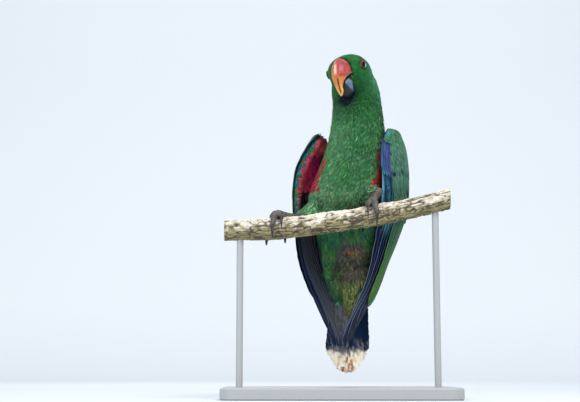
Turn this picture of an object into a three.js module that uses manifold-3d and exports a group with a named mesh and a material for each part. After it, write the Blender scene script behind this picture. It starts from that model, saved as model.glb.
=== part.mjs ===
// A perched male eclectus parrot, life size, on a cut length of branch over a display stand.
// Millimetres, +Z up. The bird faces -Y, its left side is towards +X, and the origin is at the
// middle of the stand's underside.

import * as THREE from "three";
import { mergeVertices } from "three/addons/utils/BufferGeometryUtils.js";
import Module from "manifold-3d";

const wasm = await Module();
wasm.setup();

// Driving dimensions
const GAP = 0.3;
const VANE_THICK = 0.6;
const COVERT_THICK = 0.7;
const FEATHER_GAP = 0.3;
const CORE_THICK = 3.4;
const BODY_LEAN = 17;

const BASE = { length: 240, depth: 140, thick: 12, corner: 14, bevel: 1.5 };
const ROD = { radius: 3.5, left: -102, right: 98, sides: 14 };

// The branch: the height of its axis along X, its depth and its radius
const PERCH = { y: -26, radius: 11, sides: 14, rings: 16, ends: [-118, 113] };
const PERCH_LINE = [[-118, 171.5], [-60, 173], [0, 180], [37, 186.5], [62, 191.5], [113, 203.5]];

// The head: the point midway between the temples, then how it is turned from looking along -Y
const HEAD = { x: 10.8, y: -31, z: 337.6, yaw: 27.5, pitch: -9, roll: 9 };
const EYE = { forward: 8, side: 17, up: 0.5, radius: 5.6, lid: 0.9 };

// Head sections along the beak's line: forward, half width, top, bottom, height of the widest line
const HEAD_ROWS = [
  [-27, 6, 0, -10, -5],
  [-23, 13, 8, -18, -5],
  [-15, 18.8, 13.5, -24, -5],
  [-4, 21.8, 16.8, -28, -3],
  [6, 21.6, 16.6, -29, 1],
  [13, 18.8, 14.8, -29, 2],
  [19, 14.8, 12.5, -26, 2],
  [22, 9, 10, -19, 0],
];

// Neck and trunk sections: height, centre x and y, half width, depth in front and behind
const BODY_ROWS = [
  [340, 14, -27, 19, 10, 18],
  [323, 16.5, -25, 25, 17, 23],
  [306, 19, -21, 26, 23, 26],
  [288, 20, -15, 27.5, 27, 28],
  [270, 19.5, -9.5, 30, 31, 30],
  [252, 17, -4, 32.5, 33, 33],
  [234, 12.5, 1.5, 35.5, 35, 35],
  [216, 7.5, 7, 38, 34, 36],
  [198, 5.5, 12.5, 38, 29, 36],
  [183, 8, 17, 35.5, 29, 34],
  [168, 9.5, 21, 32, 28, 31],
  [153, 10.5, 25, 28.5, 23, 26],
  [140, 9.5, 29, 25, 17, 20],
  [128, 10, 32.5, 19, 12, 14],
];
const NECK_TOP = 311;
const NECK_FOOT = 268;

// Wing sections from the wrist down: height, then x and y of the leading edge, the outermost
// line and the trailing edge
const LEFT_WING = {
  side: 1,
  rows: [
    [279, 51, -29, 56, -16, 54, -2],
    [262, 45, -29, 66.5, -3, 54, 30],
    [240, 43.5, -27, 70.5, 5, 45, 46],
    [215, 46, -20, 71, 11, 37, 54],
    [190, 45.5, -8, 69.5, 16, 33, 59],
    [165, 41, -1, 60.5, 20, 32, 59],
    [143, 38, 6, 51.5, 24, 33, 56],
    [120, 33.5, 13, 42, 26, 36, 46],
    [98, 25, 19, 31.5, 28, 33, 38],
    [77, 14.5, 23, 21.5, 29, 26, 34],
    [55, 3, 26, 10, 30, 15, 33],
  ],
};
const RIGHT_WING = {
  side: -1,
  rows: [
    [279, -15, 3, -17, 11, -12, 19],
    [262, -30, 6, -27, 21, -13, 35],
    [240, -41.5, 10, -32.5, 27, -7, 42],
    [215, -45, 14, -35, 31, -5, 48],
    [190, -45, 17.5, -34, 34, -3, 51],
    [165, -44, 21, -31, 37, -1, 53],
    [143, -41, 24, -28, 38, -1, 50],
    [120, -33.5, 27, -21, 37, 0, 46],
    [98, -23.5, 30, -13.5, 35.5, 1, 40],
    [77, -13.5, 34, -5.5, 37.5, 5, 41],
    [52, -1, 38, 3, 40, 8, 42],
  ],
};
const WING_CORE_END = 0.3;

// The beak: pairs of points on the ridge and on the cutting edge, then the half width there
const UPPER_BILL_ROWS = [
  [14, 8, 10, -5, 9.5],
  [20, 11.5, 14, -6, 10.5],
  [27.5, 9, 20, -7, 10],
  [33, 3, 25, -10, 8.8],
  [36.5, -6, 29, -13.5, 7],
  [38, -15.5, 31.5, -19, 5],
  [37, -24, 33, -25, 2.9],
  [34.5, -30, 33.8, -29.3, 0.8],
];
// The lower beak: the front of its edge and its under line, then the half width
const LOWER_BILL_ROWS = [
  [7, -9, 6, -24, 8.2],
  [13, -9.5, 12, -27, 8.6],
  [19, -11, 17.5, -28, 8],
  [24, -13.5, 22.5, -26.5, 6.4],
  [27.5, -16.5, 26.5, -22.5, 4],
];

// Legs: where the thigh leaves the trunk, the ankle, and the place of the foot along the branch
const LEFT_LEG = { side: 1, hip: [22, 2, 222], ankle: [40.5, -17, 212], foot: 33, cuff: 6, taper: 1.2 };
const RIGHT_LEG = { side: -1, hip: [-10, 6, 208], ankle: [-43, -7, 185.5], foot: -64.5, cuff: 5.4, taper: 0.9 };
const TARSUS = { radius: 4.7, waist: 0.8 };
const TOE = { radius: 3.9, tip: 2.5 };
// Each toe: how far it slants outwards along the branch, where round the branch it starts and
// ends, and how high its claw arches
const TOES = [
  { name: "2", slant: -4, from: 5, to: 42, arch: 2.6 },
  { name: "3", slant: 3.6, from: 5, to: 86, arch: 2.4 },
  { name: "4", slant: 9, from: -5, to: -112, arch: 5 },
  { name: "1", slant: -7, from: -5, to: -104, arch: 5 },
];
const CLAW = { radius: 1.9, sweep: 64, tip: 0.35 };

const TAIL = {
  root: [13.5, 38, 121], tip: [10.5, 68, 26], rootSpread: 12, spread: 19.5, round: 24, width: 15, pairs: 6,
};

// Finish of each kind of surface
const LOOKS = {
  green: { color: 0x2f7a3c, roughness: 0.75, metalness: 0 },
  wing: { color: 0x2b6e4a, roughness: 0.7, metalness: 0 },
  tail: { color: 0x26313d, roughness: 0.7, metalness: 0 },
  upperBill: { color: 0xe8793f, roughness: 0.3, metalness: 0 },
  lowerBill: { color: 0x23262b, roughness: 0.35, metalness: 0 },
  eye: { color: 0x3a1f10, roughness: 0.08, metalness: 0 },
  foot: { color: 0x77706a, roughness: 0.8, metalness: 0 },
  claw: { color: 0x2b2724, roughness: 0.4, metalness: 0 },
  bark: { color: 0xa08c6c, roughness: 0.9, metalness: 0 },
  stand: { color: 0xa3a4a6, roughness: 0.5, metalness: 0.2 },
};

// Small tools
const radians = THREE.MathUtils.degToRad;
const point = (x, y, z) => new THREE.Vector3(x, y, z);
const mix = THREE.MathUtils.lerp;

// A smooth curve through rows of numbers, read at s from 0 to 1
function rowAt(rows, s) {
  const place = THREE.MathUtils.clamp(s, 0, 1) * (rows.length - 1);
  const i = Math.min(Math.floor(place), rows.length - 2);
  const t = place - i;
  const before = rows[Math.max(i - 1, 0)];
  const after = rows[Math.min(i + 2, rows.length - 1)];
  return rows[i].map((value, k) => {
    const next = rows[i + 1][k];
    const slopeIn = (next - before[k]) / 2;
    const slopeOut = (after[k] - value) / 2;
    const cubic = 2 * value - 2 * next + slopeIn + slopeOut;
    const square = -3 * value + 3 * next - 2 * slopeIn - slopeOut;
    return ((cubic * t + square) * t + slopeIn) * t + value;
  });
}

// A solid of the library from a closed three.js geometry, and back
function solidOf(geometry) {
  const bare = geometry.clone();
  bare.deleteAttribute("normal");
  bare.deleteAttribute("uv");
  const merged = mergeVertices(bare, 1e-4);
  return new wasm.Manifold(new wasm.Mesh({
    numProp: 3,
    vertProperties: new Float32Array(merged.attributes.position.array),
    triVerts: new Uint32Array(merged.index.array),
  }));
}

function geometryOf(solid) {
  const mesh = solid.getMesh();
  const geometry = new THREE.BufferGeometry();
  geometry.setAttribute("position", new THREE.BufferAttribute(new Float32Array(mesh.vertProperties), 3));
  geometry.setIndex(new THREE.BufferAttribute(new Uint32Array(mesh.triVerts), 1));
  geometry.computeVertexNormals();
  return geometry;
}

const join = (geometries) => wasm.Manifold.union(geometries.map(solidOf));

// The largest closed surface of a solid, which drops loose scraps and sealed hollows
function largest(solid) {
  const pieces = solid.decompose();
  pieces.sort((a, b) => b.volume() - a.volume());
  return pieces[0];
}

// A closed geometry through rings of points, with a fan over each end
function loft(rings) {
  const sides = rings[0].length;
  const middle = (ring) => ring.reduce((sum, p) => sum.add(p), point(0, 0, 0)).divideScalar(sides);
  const points = [...rings.flat(), middle(rings[0]), middle(rings.at(-1))];
  const first = points.length - 2;
  const last = points.length - 1;
  const lastRing = (rings.length - 1) * sides;
  const faces = [];
  for (let j = 0; j < sides; j += 1) {
    const k = (j + 1) % sides;
    for (let i = 0; i < rings.length - 1; i += 1) {
      const a = i * sides;
      const b = a + sides;
      faces.push(a + j, a + k, b + k, a + j, b + k, b + j);
    }
    faces.push(first, k, j);
    faces.push(last, lastRing + j, lastRing + k);
  }
  return indexed(points, faces);
}

// A geometry from points and faces, turned inside out if its faces point in
function indexed(points, faces) {
  const geometry = new THREE.BufferGeometry().setFromPoints(points);
  geometry.setIndex(signedVolume(points, faces) < 0 ? faces.toReversed() : faces);
  return geometry;
}

function signedVolume(points, faces) {
  let volume = 0;
  for (let i = 0; i < faces.length; i += 3) {
    const [a, b, c] = [points[faces[i]], points[faces[i + 1]], points[faces[i + 2]]];
    volume += a.dot(b.clone().cross(c)) / 6;
  }
  return volume;
}

// A tapering round limb along a curve, whose radius is a function of the way along
function limb(points, radius, steps, sides, grow = 0) {
  const curve = new THREE.CatmullRomCurve3(points);
  const frames = curve.computeFrenetFrames(steps, false);
  const rings = [];
  for (let i = 0; i <= steps; i += 1) {
    const centre = curve.getPointAt(i / steps);
    const size = radius(i / steps) + grow;
    rings.push(ringRound(centre, frames.normals[i], frames.binormals[i], size, size, sides));
  }
  return loft(grownEnds(rings, grow));
}

function ringRound(centre, along, across, width, height, sides) {
  return Array.from({ length: sides }, (_, j) => {
    const angle = (2 * Math.PI * j) / sides;
    return centre.clone()
      .addScaledVector(along, width * Math.cos(angle))
      .addScaledVector(across, height * Math.sin(angle));
  });
}

// Rings with the first and last moved apart along their own line, to clear a piece's ends too
function grownEnds(rings, grow) {
  const middle = (ring) => ring.reduce((sum, p) => sum.add(p), point(0, 0, 0)).divideScalar(ring.length);
  for (const [end, next] of [[rings[0], rings[1]], [rings.at(-1), rings.at(-2)]]) {
    const away = middle(end).sub(middle(next)).normalize().multiplyScalar(grow);
    end.forEach((p) => p.add(away));
  }
  return rings;
}

// The head's own axes: forward, to its left, up
function headMatrix() {
  const [yaw, pitch, roll] = [HEAD.yaw, HEAD.pitch, HEAD.roll].map(radians);
  const forward = point(
    -Math.sin(yaw) * Math.cos(pitch), -Math.cos(yaw) * Math.cos(pitch), Math.sin(pitch));
  const level = point(Math.cos(yaw), -Math.sin(yaw), 0);
  const upright = forward.clone().cross(level);
  const left = level.clone().multiplyScalar(Math.cos(roll)).addScaledVector(upright, Math.sin(roll));
  const up = upright.multiplyScalar(Math.cos(roll)).addScaledVector(level, -Math.sin(roll));
  return new THREE.Matrix4().makeBasis(forward, left, up).setPosition(HEAD.x, HEAD.y, HEAD.z);
}

function headRing([forward, half, top, bottom, level], sides) {
  return Array.from({ length: sides }, (_, j) => {
    const angle = (2 * Math.PI * j) / sides;
    const rise = Math.sin(angle) > 0 ? top - level : level - bottom;
    return point(forward, half * Math.cos(angle), level + rise * Math.sin(angle));
  });
}

// Head, neck and trunk, made whole
function headShape() {
  const rings = [];
  const steps = 12;
  for (let i = 0; i <= steps; i += 1) {
    rings.push(headRing(rowAt(HEAD_ROWS, i / steps), 16));
  }
  return loft(rings).applyMatrix4(headMatrix());
}

function bodyRing(row, grow, sides) {
  const [z, x, y, half, front, back] = row;
  return Array.from({ length: sides }, (_, j) => {
    const angle = (2 * Math.PI * j) / sides;
    const depth = Math.sin(angle) < 0 ? front : back;
    return point(x + (half + grow) * Math.cos(angle), y + (depth + grow) * Math.sin(angle), z);
  });
}

function bodyShape(grow) {
  const steps = 18;
  const rings = [];
  for (let i = 0; i <= steps; i += 1) {
    rings.push(bodyRing(rowAt(BODY_ROWS, i / steps), grow, 20));
  }
  return loft(rings);
}

// A thin slab that parts the body across its own line
function cutAt(height) {
  const [, x, y] = BODY_ROWS.find(([z]) => z <= height);
  const slab = new THREE.BoxGeometry(200, 200, GAP);
  slab.rotateX(radians(-BODY_LEAN / 2));
  slab.translate(x, y, height);
  return solidOf(slab);
}

// Eyes, lids and beak, in the head's own axes
function eyeCentre(side) {
  return point(EYE.forward, side * EYE.side, EYE.up);
}

function eyeShape(side, grow) {
  const centre = eyeCentre(side);
  return new THREE.SphereGeometry(EYE.radius + grow, 14, 8).translate(centre.x, centre.y, centre.z);
}

function lidShape(side) {
  const ring = new THREE.TorusGeometry(EYE.radius - 1.2, EYE.lid, 4, 12);
  ring.scale(1, 0.9, 1);
  ring.rotateX(radians(90));
  ring.rotateZ(radians(side * -9));
  ring.translate(EYE.forward + 0.6, side * (EYE.side + 4), EYE.up);
  return ring;
}

// A beak section: the ridge, a rounded flank down each side, and the hollow between the edges
function billRing(row, grow) {
  const [ridgeX, ridgeZ, edgeX, edgeZ, half] = row;
  const ridge = point(ridgeX, 0, ridgeZ);
  const down = point(edgeX - ridgeX, 0, edgeZ - ridgeZ);
  const outward = down.clone().normalize().multiplyScalar(-grow);
  const flank = (share, width) => ridge.clone().addScaledVector(down, share)
    .addScaledVector(outward, 1 - 2 * share).setY(width * half + Math.sign(width) * grow);
  const right = [[0.1, 0.42], [0.32, 0.78], [0.62, 0.98], [0.98, 0.97]];
  const under = ridge.clone().addScaledVector(down, 0.86).addScaledVector(outward, -1);
  return [
    ridge.clone().add(outward),
    ...right.map(([share, width]) => flank(share, width)),
    under,
    ...right.toReversed().map(([share, width]) => flank(share, -width)),
  ];
}

function upperBillShape(grow) {
  const steps = 12;
  const rings = Array.from({ length: steps + 1 }, (_, i) => billRing(rowAt(UPPER_BILL_ROWS, i / steps), grow));
  return loft(grownEnds(rings, grow));
}

function lowerBillRing(row, grow) {
  const [edgeX, edgeZ, baseX, baseZ, half] = row;
  const across = [[1, 0], [0.9, 0.28], [0.62, 0.7], [0.25, 0.95]];
  const at = (width, share, sign) => point(
    mix(edgeX, baseX, share), sign * (width * half + grow), mix(edgeZ + grow, baseZ - grow, share));
  const points = across.map(([width, share]) => at(width, share, 1));
  const keel = point(baseX, 0, baseZ - grow);
  const mirrored = across.toReversed().map(([width, share]) => at(width, share, -1));
  const trough = point(edgeX, 0, edgeZ + grow - 1.6);
  return [...points, keel, ...mirrored, trough];
}

function lowerBillShape(grow) {
  const steps = 7;
  const rows = Array.from({ length: steps + 1 }, (_, i) => rowAt(LOWER_BILL_ROWS, i / steps));
  const rings = rows.map((row) => lowerBillRing(row, grow));
  return loft(grownEnds(rings, grow));
}

function nostrilShape(side) {
  return new THREE.SphereGeometry(1.3, 8, 6).translate(20.6, side * 4.6, 11.6);
}

// The branch
function perchAxis(x) {
  const curve = new THREE.SplineCurve(PERCH_LINE.map(([a, z]) => new THREE.Vector2(a, z)));
  return curve.getPoint(perchShare(curve, x));
}

// The way along the curve at which it stands at x, by halving
function perchShare(curve, x) {
  let [low, high] = [0, 1];
  for (let i = 0; i < 24; i += 1) {
    const middle = (low + high) / 2;
    if (curve.getPoint(middle).x < x) low = middle;
    else high = middle;
  }
  return (low + high) / 2;
}

// Knobs and hollows of the bark, as a share of the radius
function barkRelief(x, angle) {
  return 0.03 * Math.sin(x / 9 + 2 * angle) + 0.022 * Math.sin(x / 23 - 3 * angle + 1)
    + 0.03 * Math.sin(x / 31 + angle);
}

function perchShape(grow) {
  const [start, end] = PERCH.ends;
  const rings = [];
  for (let i = 0; i < PERCH.rings; i += 1) {
    const x = mix(start - grow, end + grow, i / (PERCH.rings - 1));
    const { y: z } = perchAxis(x);
    rings.push(Array.from({ length: PERCH.sides }, (_, j) => {
      const angle = (2 * Math.PI * j) / PERCH.sides;
      const size = PERCH.radius * (1 + barkRelief(x, angle)) + grow;
      return point(x, PERCH.y + size * Math.cos(angle), z + size * Math.sin(angle));
    }));
  }
  return loft(rings);
}

// Legs and feet
function footCentre(leg) {
  return point(leg.foot, PERCH.y, perchAxis(leg.foot).y + PERCH.radius + TOE.radius);
}

function thighShape(leg, grow) {
  const hip = point(...leg.hip);
  const ankle = point(...leg.ankle);
  const knee = hip.clone().lerp(ankle, 0.5).add(point(0, -2, -1));
  return limb([hip, knee, ankle], (t) => mix(15, leg.cuff, t ** leg.taper), 5, 12, grow);
}

function tarsusShape(leg, grow) {
  const ankle = point(...leg.ankle);
  const foot = footCentre(leg);
  const knuckle = ankle.clone().lerp(foot, -0.12);
  const radius = (t) => TARSUS.radius - TARSUS.waist * Math.sin(Math.PI * t);
  return limb([knuckle, ankle.clone().lerp(foot, 0.4), foot], radius, 4, 9, grow);
}

// A point beside the branch, round it by an angle from its top towards the front
function besidePerch(x, angle, height) {
  const reach = PERCH.radius + height;
  const turn = radians(angle);
  return point(x, PERCH.y - reach * Math.sin(turn), perchAxis(x).y + reach * Math.cos(turn));
}

function toePath(leg, toe, from, to, lift, steps) {
  return Array.from({ length: steps + 1 }, (_, i) => {
    const t = i / steps;
    const angle = mix(from, to, t);
    const share = (angle - toe.from) / (toe.to - toe.from);
    return besidePerch(leg.foot + leg.side * toe.slant * Math.min(0.25 + share, 1.2), angle, lift(t));
  });
}

function toeShape(leg, toe, grow) {
  const path = toePath(leg, toe, toe.from, toe.to, (t) => mix(TOE.radius, TOE.tip, t), 5);
  const pads = (t) => mix(TOE.radius, TOE.tip, t) * (1 + 0.1 * Math.sin(5 * Math.PI * t));
  return limb(path, pads, 7, 6, grow);
}

function clawShape(leg, toe) {
  const direction = Math.sign(toe.to);
  const from = toe.to - direction * 4;
  const to = from + direction * CLAW.sweep;
  const rise = (t) => 2.6 + toe.arch * Math.sin(Math.PI * t * 0.9) - 1.2 * t;
  return limb(toePath(leg, toe, from, to, rise, 4), (t) => mix(CLAW.radius, CLAW.tip, t ** 1.2), 5, 6);
}

// Wings
function wingPoint(wing, u, v) {
  const [z, leadX, leadY, outerX, outerY, trailX, trailY] = rowAt(wing.rows, u);
  const lead = (2 * v - 1) * (v - 1);
  const outer = 4 * v * (1 - v);
  const trail = v * (2 * v - 1);
  return point(
    leadX * lead + outerX * outer + trailX * trail,
    leadY * lead + outerY * outer + trailY * trail,
    z);
}

function wingFrame(wing, u, v) {
  const step = 0.01;
  const centre = wingPoint(wing, u, v);
  const down = wingPoint(wing, Math.min(u + step, 1), v).sub(wingPoint(wing, Math.max(u - step, 0), v));
  const back = wingPoint(wing, u, v + step).sub(wingPoint(wing, u, v - step));
  const out = down.clone().cross(back).normalize().multiplyScalar(wing.side);
  return { centre, out };
}

// A feather's plate along a path of frames: an edge, a shaft and an edge above, and the same
// below, with the faces above and below split alike
function plate(stations) {
  const points = stations.flat();
  const sides = stations[0].length;
  const upper = sides / 2 - 1;
  const faces = [];
  for (let i = 0; i < stations.length - 1; i += 1) {
    const a = i * sides;
    const b = a + sides;
    for (let j = 0; j < sides; j += 1) {
      const k = (j + 1) % sides;
      if (j < upper) faces.push(a + j, a + k, b + k, a + j, b + k, b + j);
      else faces.push(a + j, a + k, b + j, a + k, b + k, b + j);
    }
  }
  const end = (stations.length - 1) * sides;
  for (let j = 0; j < upper; j += 1) {
    const low = sides - 1 - j;
    faces.push(j + 1, j, low, j + 1, low, low - 1);
    faces.push(end + j, end + j + 1, end + low, end + j + 1, end + low - 1, end + low);
  }
  return indexed(points, faces);
}

// Width of a feather along it, as shares of its widest
const FLIGHT_OUTLINE = [[0, 0.45], [0.35, 0.9], [0.7, 1], [0.93, 0.66], [1, 0.15]];
const COVERT_OUTLINE = [[0, 0.55], [0.5, 1], [0.85, 0.75], [1, 0.2]];

// The length of a wing's section at u, between its leading and trailing edges
function chordLength(wing, u) {
  const steps = 6;
  let length = 0;
  for (let i = 0; i < steps; i += 1) {
    length += wingPoint(wing, u, i / steps).distanceTo(wingPoint(wing, u, (i + 1) / steps));
  }
  return length;
}

// A feather that follows a wing's surface. It rises off the wing from root to tip, its leading
// edge leans up over its neighbour, and where the feathers crowd, each also lies higher than
// the one before
function wingFeather(wing, feather) {
  const { from, to, width, rise, tilt, order, pitch, outline, thick, face = 1 } = feather;
  const layer = thick + FEATHER_GAP;
  const lean = Math.sin(radians(tilt));
  return plate(outline.map(([t, share]) => {
    const u = mix(from[0], to[0], t);
    const v = mix(from[1], to[1], t);
    const chord = chordLength(wing, u);
    const crowd = Math.max(0, layer - chord * mix(pitch[0], pitch[1], t) * lean);
    const height = mix(rise[0], rise[1], Math.min(1, t * 2)) + order * crowd * Math.min(1, t * 5);
    const half = (share * width) / 2;
    const at = (side, level) => {
      const { centre, out } = wingFrame(wing, u, v + (side * half) / chord);
      return centre.addScaledVector(out, face * (height - side * half * lean + level * thick / 2));
    };
    return [at(-1, 1), at(0, 1), at(1, 1), at(1, -1), at(0, -1), at(-1, -1)];
  }));
}

// The arm and hand: a padded slab under the wing's upper feathers
function wingCore(wing) {
  const across = 6;
  const fullness = [0.55, 0.9, 1, 1, 1, 0.8];
  const rings = fullness.map((full, i) => {
    const u = mix(0.015, WING_CORE_END, i / (fullness.length - 1));
    const ring = [];
    for (const face of [1, -1]) {
      for (let j = 0; j <= across; j += 1) {
        const share = face > 0 ? j / across : 1 - j / across;
        const { centre, out } = wingFrame(wing, u, mix(0.01, 0.93, share));
        const thick = mix(2, CORE_THICK, Math.sin(Math.PI * share) ** 0.6) * full;
        ring.push(centre.addScaledVector(out, face * thick));
      }
    }
    return ring;
  });
  return loft(rings);
}

// The upper arm, from the shoulder out to the slab
function shoulderShape(wing) {
  const shoulder = point(wing.side > 0 ? 30 : 2, 2, 262);
  const elbow = wingPoint(wing, 0.14, 0.5);
  const middle = shoulder.clone().lerp(elbow, 0.5).add(point(0, 1, 3));
  return limb([shoulder, middle, elbow], (t) => mix(12, 3, t), 4, 10);
}

const flight = { outline: FLIGHT_OUTLINE, thick: VANE_THICK };
const covert = { outline: COVERT_OUTLINE, thick: COVERT_THICK };

// A tier of feathers across a wing: how many, their roots and tips down the wing, the span of
// each across it, and how far they rise off it
function tier({ count, roots, tips, rootSpan, tipSpan, ...rest }) {
  const pitch = [rootSpan, tipSpan].map(([low, high]) => (high - low) / Math.max(count - 1, 1));
  return Array.from({ length: count }, (_, k) => {
    const share = k / Math.max(count - 1, 1);
    return {
      ...rest,
      from: [rowAt(roots, share)[0], mix(rootSpan[0], rootSpan[1], share)],
      to: [rowAt(tips, share)[0], mix(tipSpan[0], tipSpan[1], share)],
      order: k,
      pitch,
    };
  });
}

const PRIMARIES = {
  ...flight, count: 6, roots: [[0.22], [0.25]], tips: [[0.95], [0.99], [0.98], [0.92], [0.86]],
  rootSpan: [0.07, 0.26], tipSpan: [0.12, 0.68], width: 14.5, rise: [-1.9, -4], tilt: 3,
};
const SECONDARIES = {
  ...flight, count: 6, roots: [[0.24], [0.24]], tips: [[0.8], [0.75], [0.62]],
  rootSpan: [0.36, 0.82], tipSpan: [0.42, 0.9], width: 19, rise: [0.4, 2.4], tilt: 6,
};
const GREATER_COVERTS = {
  ...covert, count: 6, roots: [[0.22], [0.22]], tips: [[0.47], [0.44]],
  rootSpan: [0.34, 0.82], tipSpan: [0.34, 0.88], width: 19, rise: [1.8, 4.4], tilt: 6,
};
const MEDIAN_COVERTS = {
  ...covert, count: 6, roots: [[0.15], [0.15]], tips: [[0.34], [0.33]],
  rootSpan: [0.24, 0.82], tipSpan: [0.24, 0.86], width: 20, rise: [2, 6], tilt: 6,
};
const PRIMARY_COVERTS = {
  ...covert, count: 3, roots: [[0.19], [0.22]], tips: [[0.36], [0.44]],
  rootSpan: [0.05, 0.2], tipSpan: [0.04, 0.18], width: 12, rise: [0.8, 1.8], tilt: 4,
};
const UNDER_COVERTS = {
  ...covert, count: 4, roots: [[0.2], [0.2]], tips: [[0.5], [0.44]], face: -1,
  rootSpan: [0.1, 0.56], tipSpan: [0.08, 0.58], width: 20, rise: [1.6, 5.4], tilt: 4,
};
const UNDER_MEDIANS = {
  ...covert, count: 4, roots: [[0.1], [0.1]], tips: [[0.31], [0.29]], face: -1,
  rootSpan: [0.1, 0.54], tipSpan: [0.08, 0.56], width: 20, rise: [2, 6.8], tilt: 4,
};
const WING_TIERS = [
  PRIMARIES, SECONDARIES, GREATER_COVERTS, MEDIAN_COVERTS, PRIMARY_COVERTS, UNDER_COVERTS, UNDER_MEDIANS,
];

function wingSolid(wing, leg) {
  const feathers = WING_TIERS.flatMap(tier);
  const whole = join([
    wingCore(wing), shoulderShape(wing), ...feathers.map((feather) => wingFeather(wing, feather)),
  ]);
  return largest(whole.subtract(solidOf(bodyShape(GAP))).subtract(solidOf(thighShape(leg, GAP))));
}

// Tail
function bodyFeather({ root, tip, out, width, thick, outline }) {
  const along = tip.clone().sub(root).normalize();
  const across = along.clone().cross(out).normalize();
  const normal = across.clone().cross(along).normalize();
  return plate(outline.map(([t, share]) => {
    const at = (side, face) => root.clone().lerp(tip, t)
      .addScaledVector(across, (side * share * width) / 2)
      .addScaledVector(normal, (face * thick) / 2);
    return [at(-1, 1), at(1, 1), at(1, -1), at(-1, -1)];
  }));
}

// Tail feathers alternate left and right from the middle pair, each lying under the one before
function tailFeather(k) {
  const side = k % 2 === 0 ? 1 : -1;
  const share = side * ((Math.floor(k / 2) + 0.4) / TAIL.pairs);
  const layer = VANE_THICK + FEATHER_GAP;
  const under = -layer * Math.min(k, 4) - 0.5 * layer * Math.max(0, k - 4);
  const root = point(TAIL.root[0] + share * TAIL.rootSpread, TAIL.root[1] + under * 0.6, TAIL.root[2]);
  const tip = point(
    TAIL.tip[0] + share * TAIL.spread,
    TAIL.tip[1] + under,
    TAIL.tip[2] + TAIL.round * Math.abs(share) ** 2.4);
  return bodyFeather({ ...flight, root, tip, out: point(0, 1, 0.3), width: TAIL.width });
}

// Rows of tail coverts: count, half spread at the tips, root and tip as depth and height, width
const TAIL_COVERTS = [
  { count: 3, spread: 7, root: [31, 122], tip: [33, 81], width: 12, facing: -1 },
  { count: 4, spread: 9, root: [26, 124], tip: [28, 98], width: 12, facing: -1 },
  { count: 3, spread: 7, root: [43, 122], tip: [56, 88], width: 13, facing: 1 },
];

function tailCovert(row, k) {
  const share = (2 * k) / (row.count - 1) - 1;
  const shift = 1.1 * (k % 2);
  const root = point(TAIL.root[0] + share * row.spread * 0.8, row.root[0] + row.facing * shift, row.root[1]);
  const tip = point(
    TAIL.root[0] - 1 + share * row.spread, row.tip[0] + row.facing * shift, row.tip[1] + 5 * Math.abs(share));
  return bodyFeather({ ...covert, root, tip, out: point(0, row.facing, 0.3), width: row.width });
}

function tailCore() {
  const top = BODY_ROWS.at(-1);
  const rows = [[top[0] - GAP, ...top.slice(1)], [118, 13.5, 36, 13.5, 11, 11], [108, 13, 40, 11, 6, 6]];
  const rings = rows.map((row) => bodyRing(row, 0, 20));
  return loft(rings);
}

function tailSolid() {
  const feathers = Array.from({ length: TAIL.pairs * 2 }, (_, k) => tailFeather(k));
  const coverts = TAIL_COVERTS.flatMap(
    (row) => Array.from({ length: row.count }, (_, k) => tailCovert(row, k)));
  const below = solidOf(new THREE.BoxGeometry(200, 200, 200).translate(0, 0, BODY_ROWS.at(-1)[0] - GAP - 100));
  return largest(join([tailCore(), ...feathers, ...coverts]).intersect(below));
}

// Stand
function baseShape() {
  const { length, depth, thick, corner, bevel } = BASE;
  const [x, y] = [length / 2 - bevel, depth / 2 - bevel];
  const outline = new THREE.Shape();
  outline.moveTo(-x + corner, -y);
  outline.lineTo(x - corner, -y);
  outline.absarc(x - corner, -y + corner, corner, -Math.PI / 2, 0);
  outline.lineTo(x, y - corner);
  outline.absarc(x - corner, y - corner, corner, 0, Math.PI / 2);
  outline.lineTo(-x + corner, y);
  outline.absarc(-x + corner, y - corner, corner, Math.PI / 2, Math.PI);
  outline.lineTo(-x, -y + corner);
  outline.absarc(-x + corner, -y + corner, corner, Math.PI, 1.5 * Math.PI);
  const plateShape = new THREE.ExtrudeGeometry(outline, {
    depth: thick - 2 * bevel, bevelThickness: bevel, bevelSize: bevel, bevelSegments: 1, curveSegments: 4 });
  return plateShape.translate(0, 0, bevel);
}

function rodShape(x) {
  const foot = BASE.thick + GAP;
  const top = perchAxis(x).y;
  return new THREE.CylinderGeometry(ROD.radius, ROD.radius, top - foot, ROD.sides)
    .rotateX(Math.PI / 2).translate(x, PERCH.y, (top + foot) / 2);
}

// The whole model
const model = new THREE.Group();
const head = new THREE.Group();
head.applyMatrix4(headMatrix());
model.add(head);

function add(name, geometry, look, parent = model) {
  const mesh = new THREE.Mesh(geometry, new THREE.MeshStandardMaterial(LOOKS[look]));
  mesh.name = name;
  parent.add(mesh);
}

function addTrunk() {
  const sockets = [
    eyeShape(1, GAP), eyeShape(-1, GAP), upperBillShape(GAP), lowerBillShape(GAP),
    nostrilShape(1), nostrilShape(-1),
  ].map((shape) => solidOf(shape.applyMatrix4(headMatrix())));
  const lids = [lidShape(1), lidShape(-1)].map((shape) => shape.applyMatrix4(headMatrix()));
  const body = join([headShape(), bodyShape(0), ...lids]);
  const whole = sockets.reduce((solid, tool) => solid.subtract(tool), body);
  const pieces = whole.subtract(cutAt(NECK_TOP)).subtract(cutAt(NECK_FOOT)).decompose();
  const byHeight = pieces.filter((piece) => piece.volume() > 500)
    .sort((a, b) => b.boundingBox().max[2] - a.boundingBox().max[2]);
  ["head", "neck", "torso"].forEach((name, i) => add(name, geometryOf(byHeight[i]), "green"));
}

function addFace() {
  add("bill_upper", upperBillShape(0), "upperBill", head);
  const lower = solidOf(lowerBillShape(0)).subtract(solidOf(upperBillShape(GAP)));
  add("bill_lower", geometryOf(largest(lower)), "lowerBill", head);
  for (const [name, side] of [["left", 1], ["right", -1]]) {
    add(`eye_${name}`, eyeShape(side, 0), "eye", head);
  }
}

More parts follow.
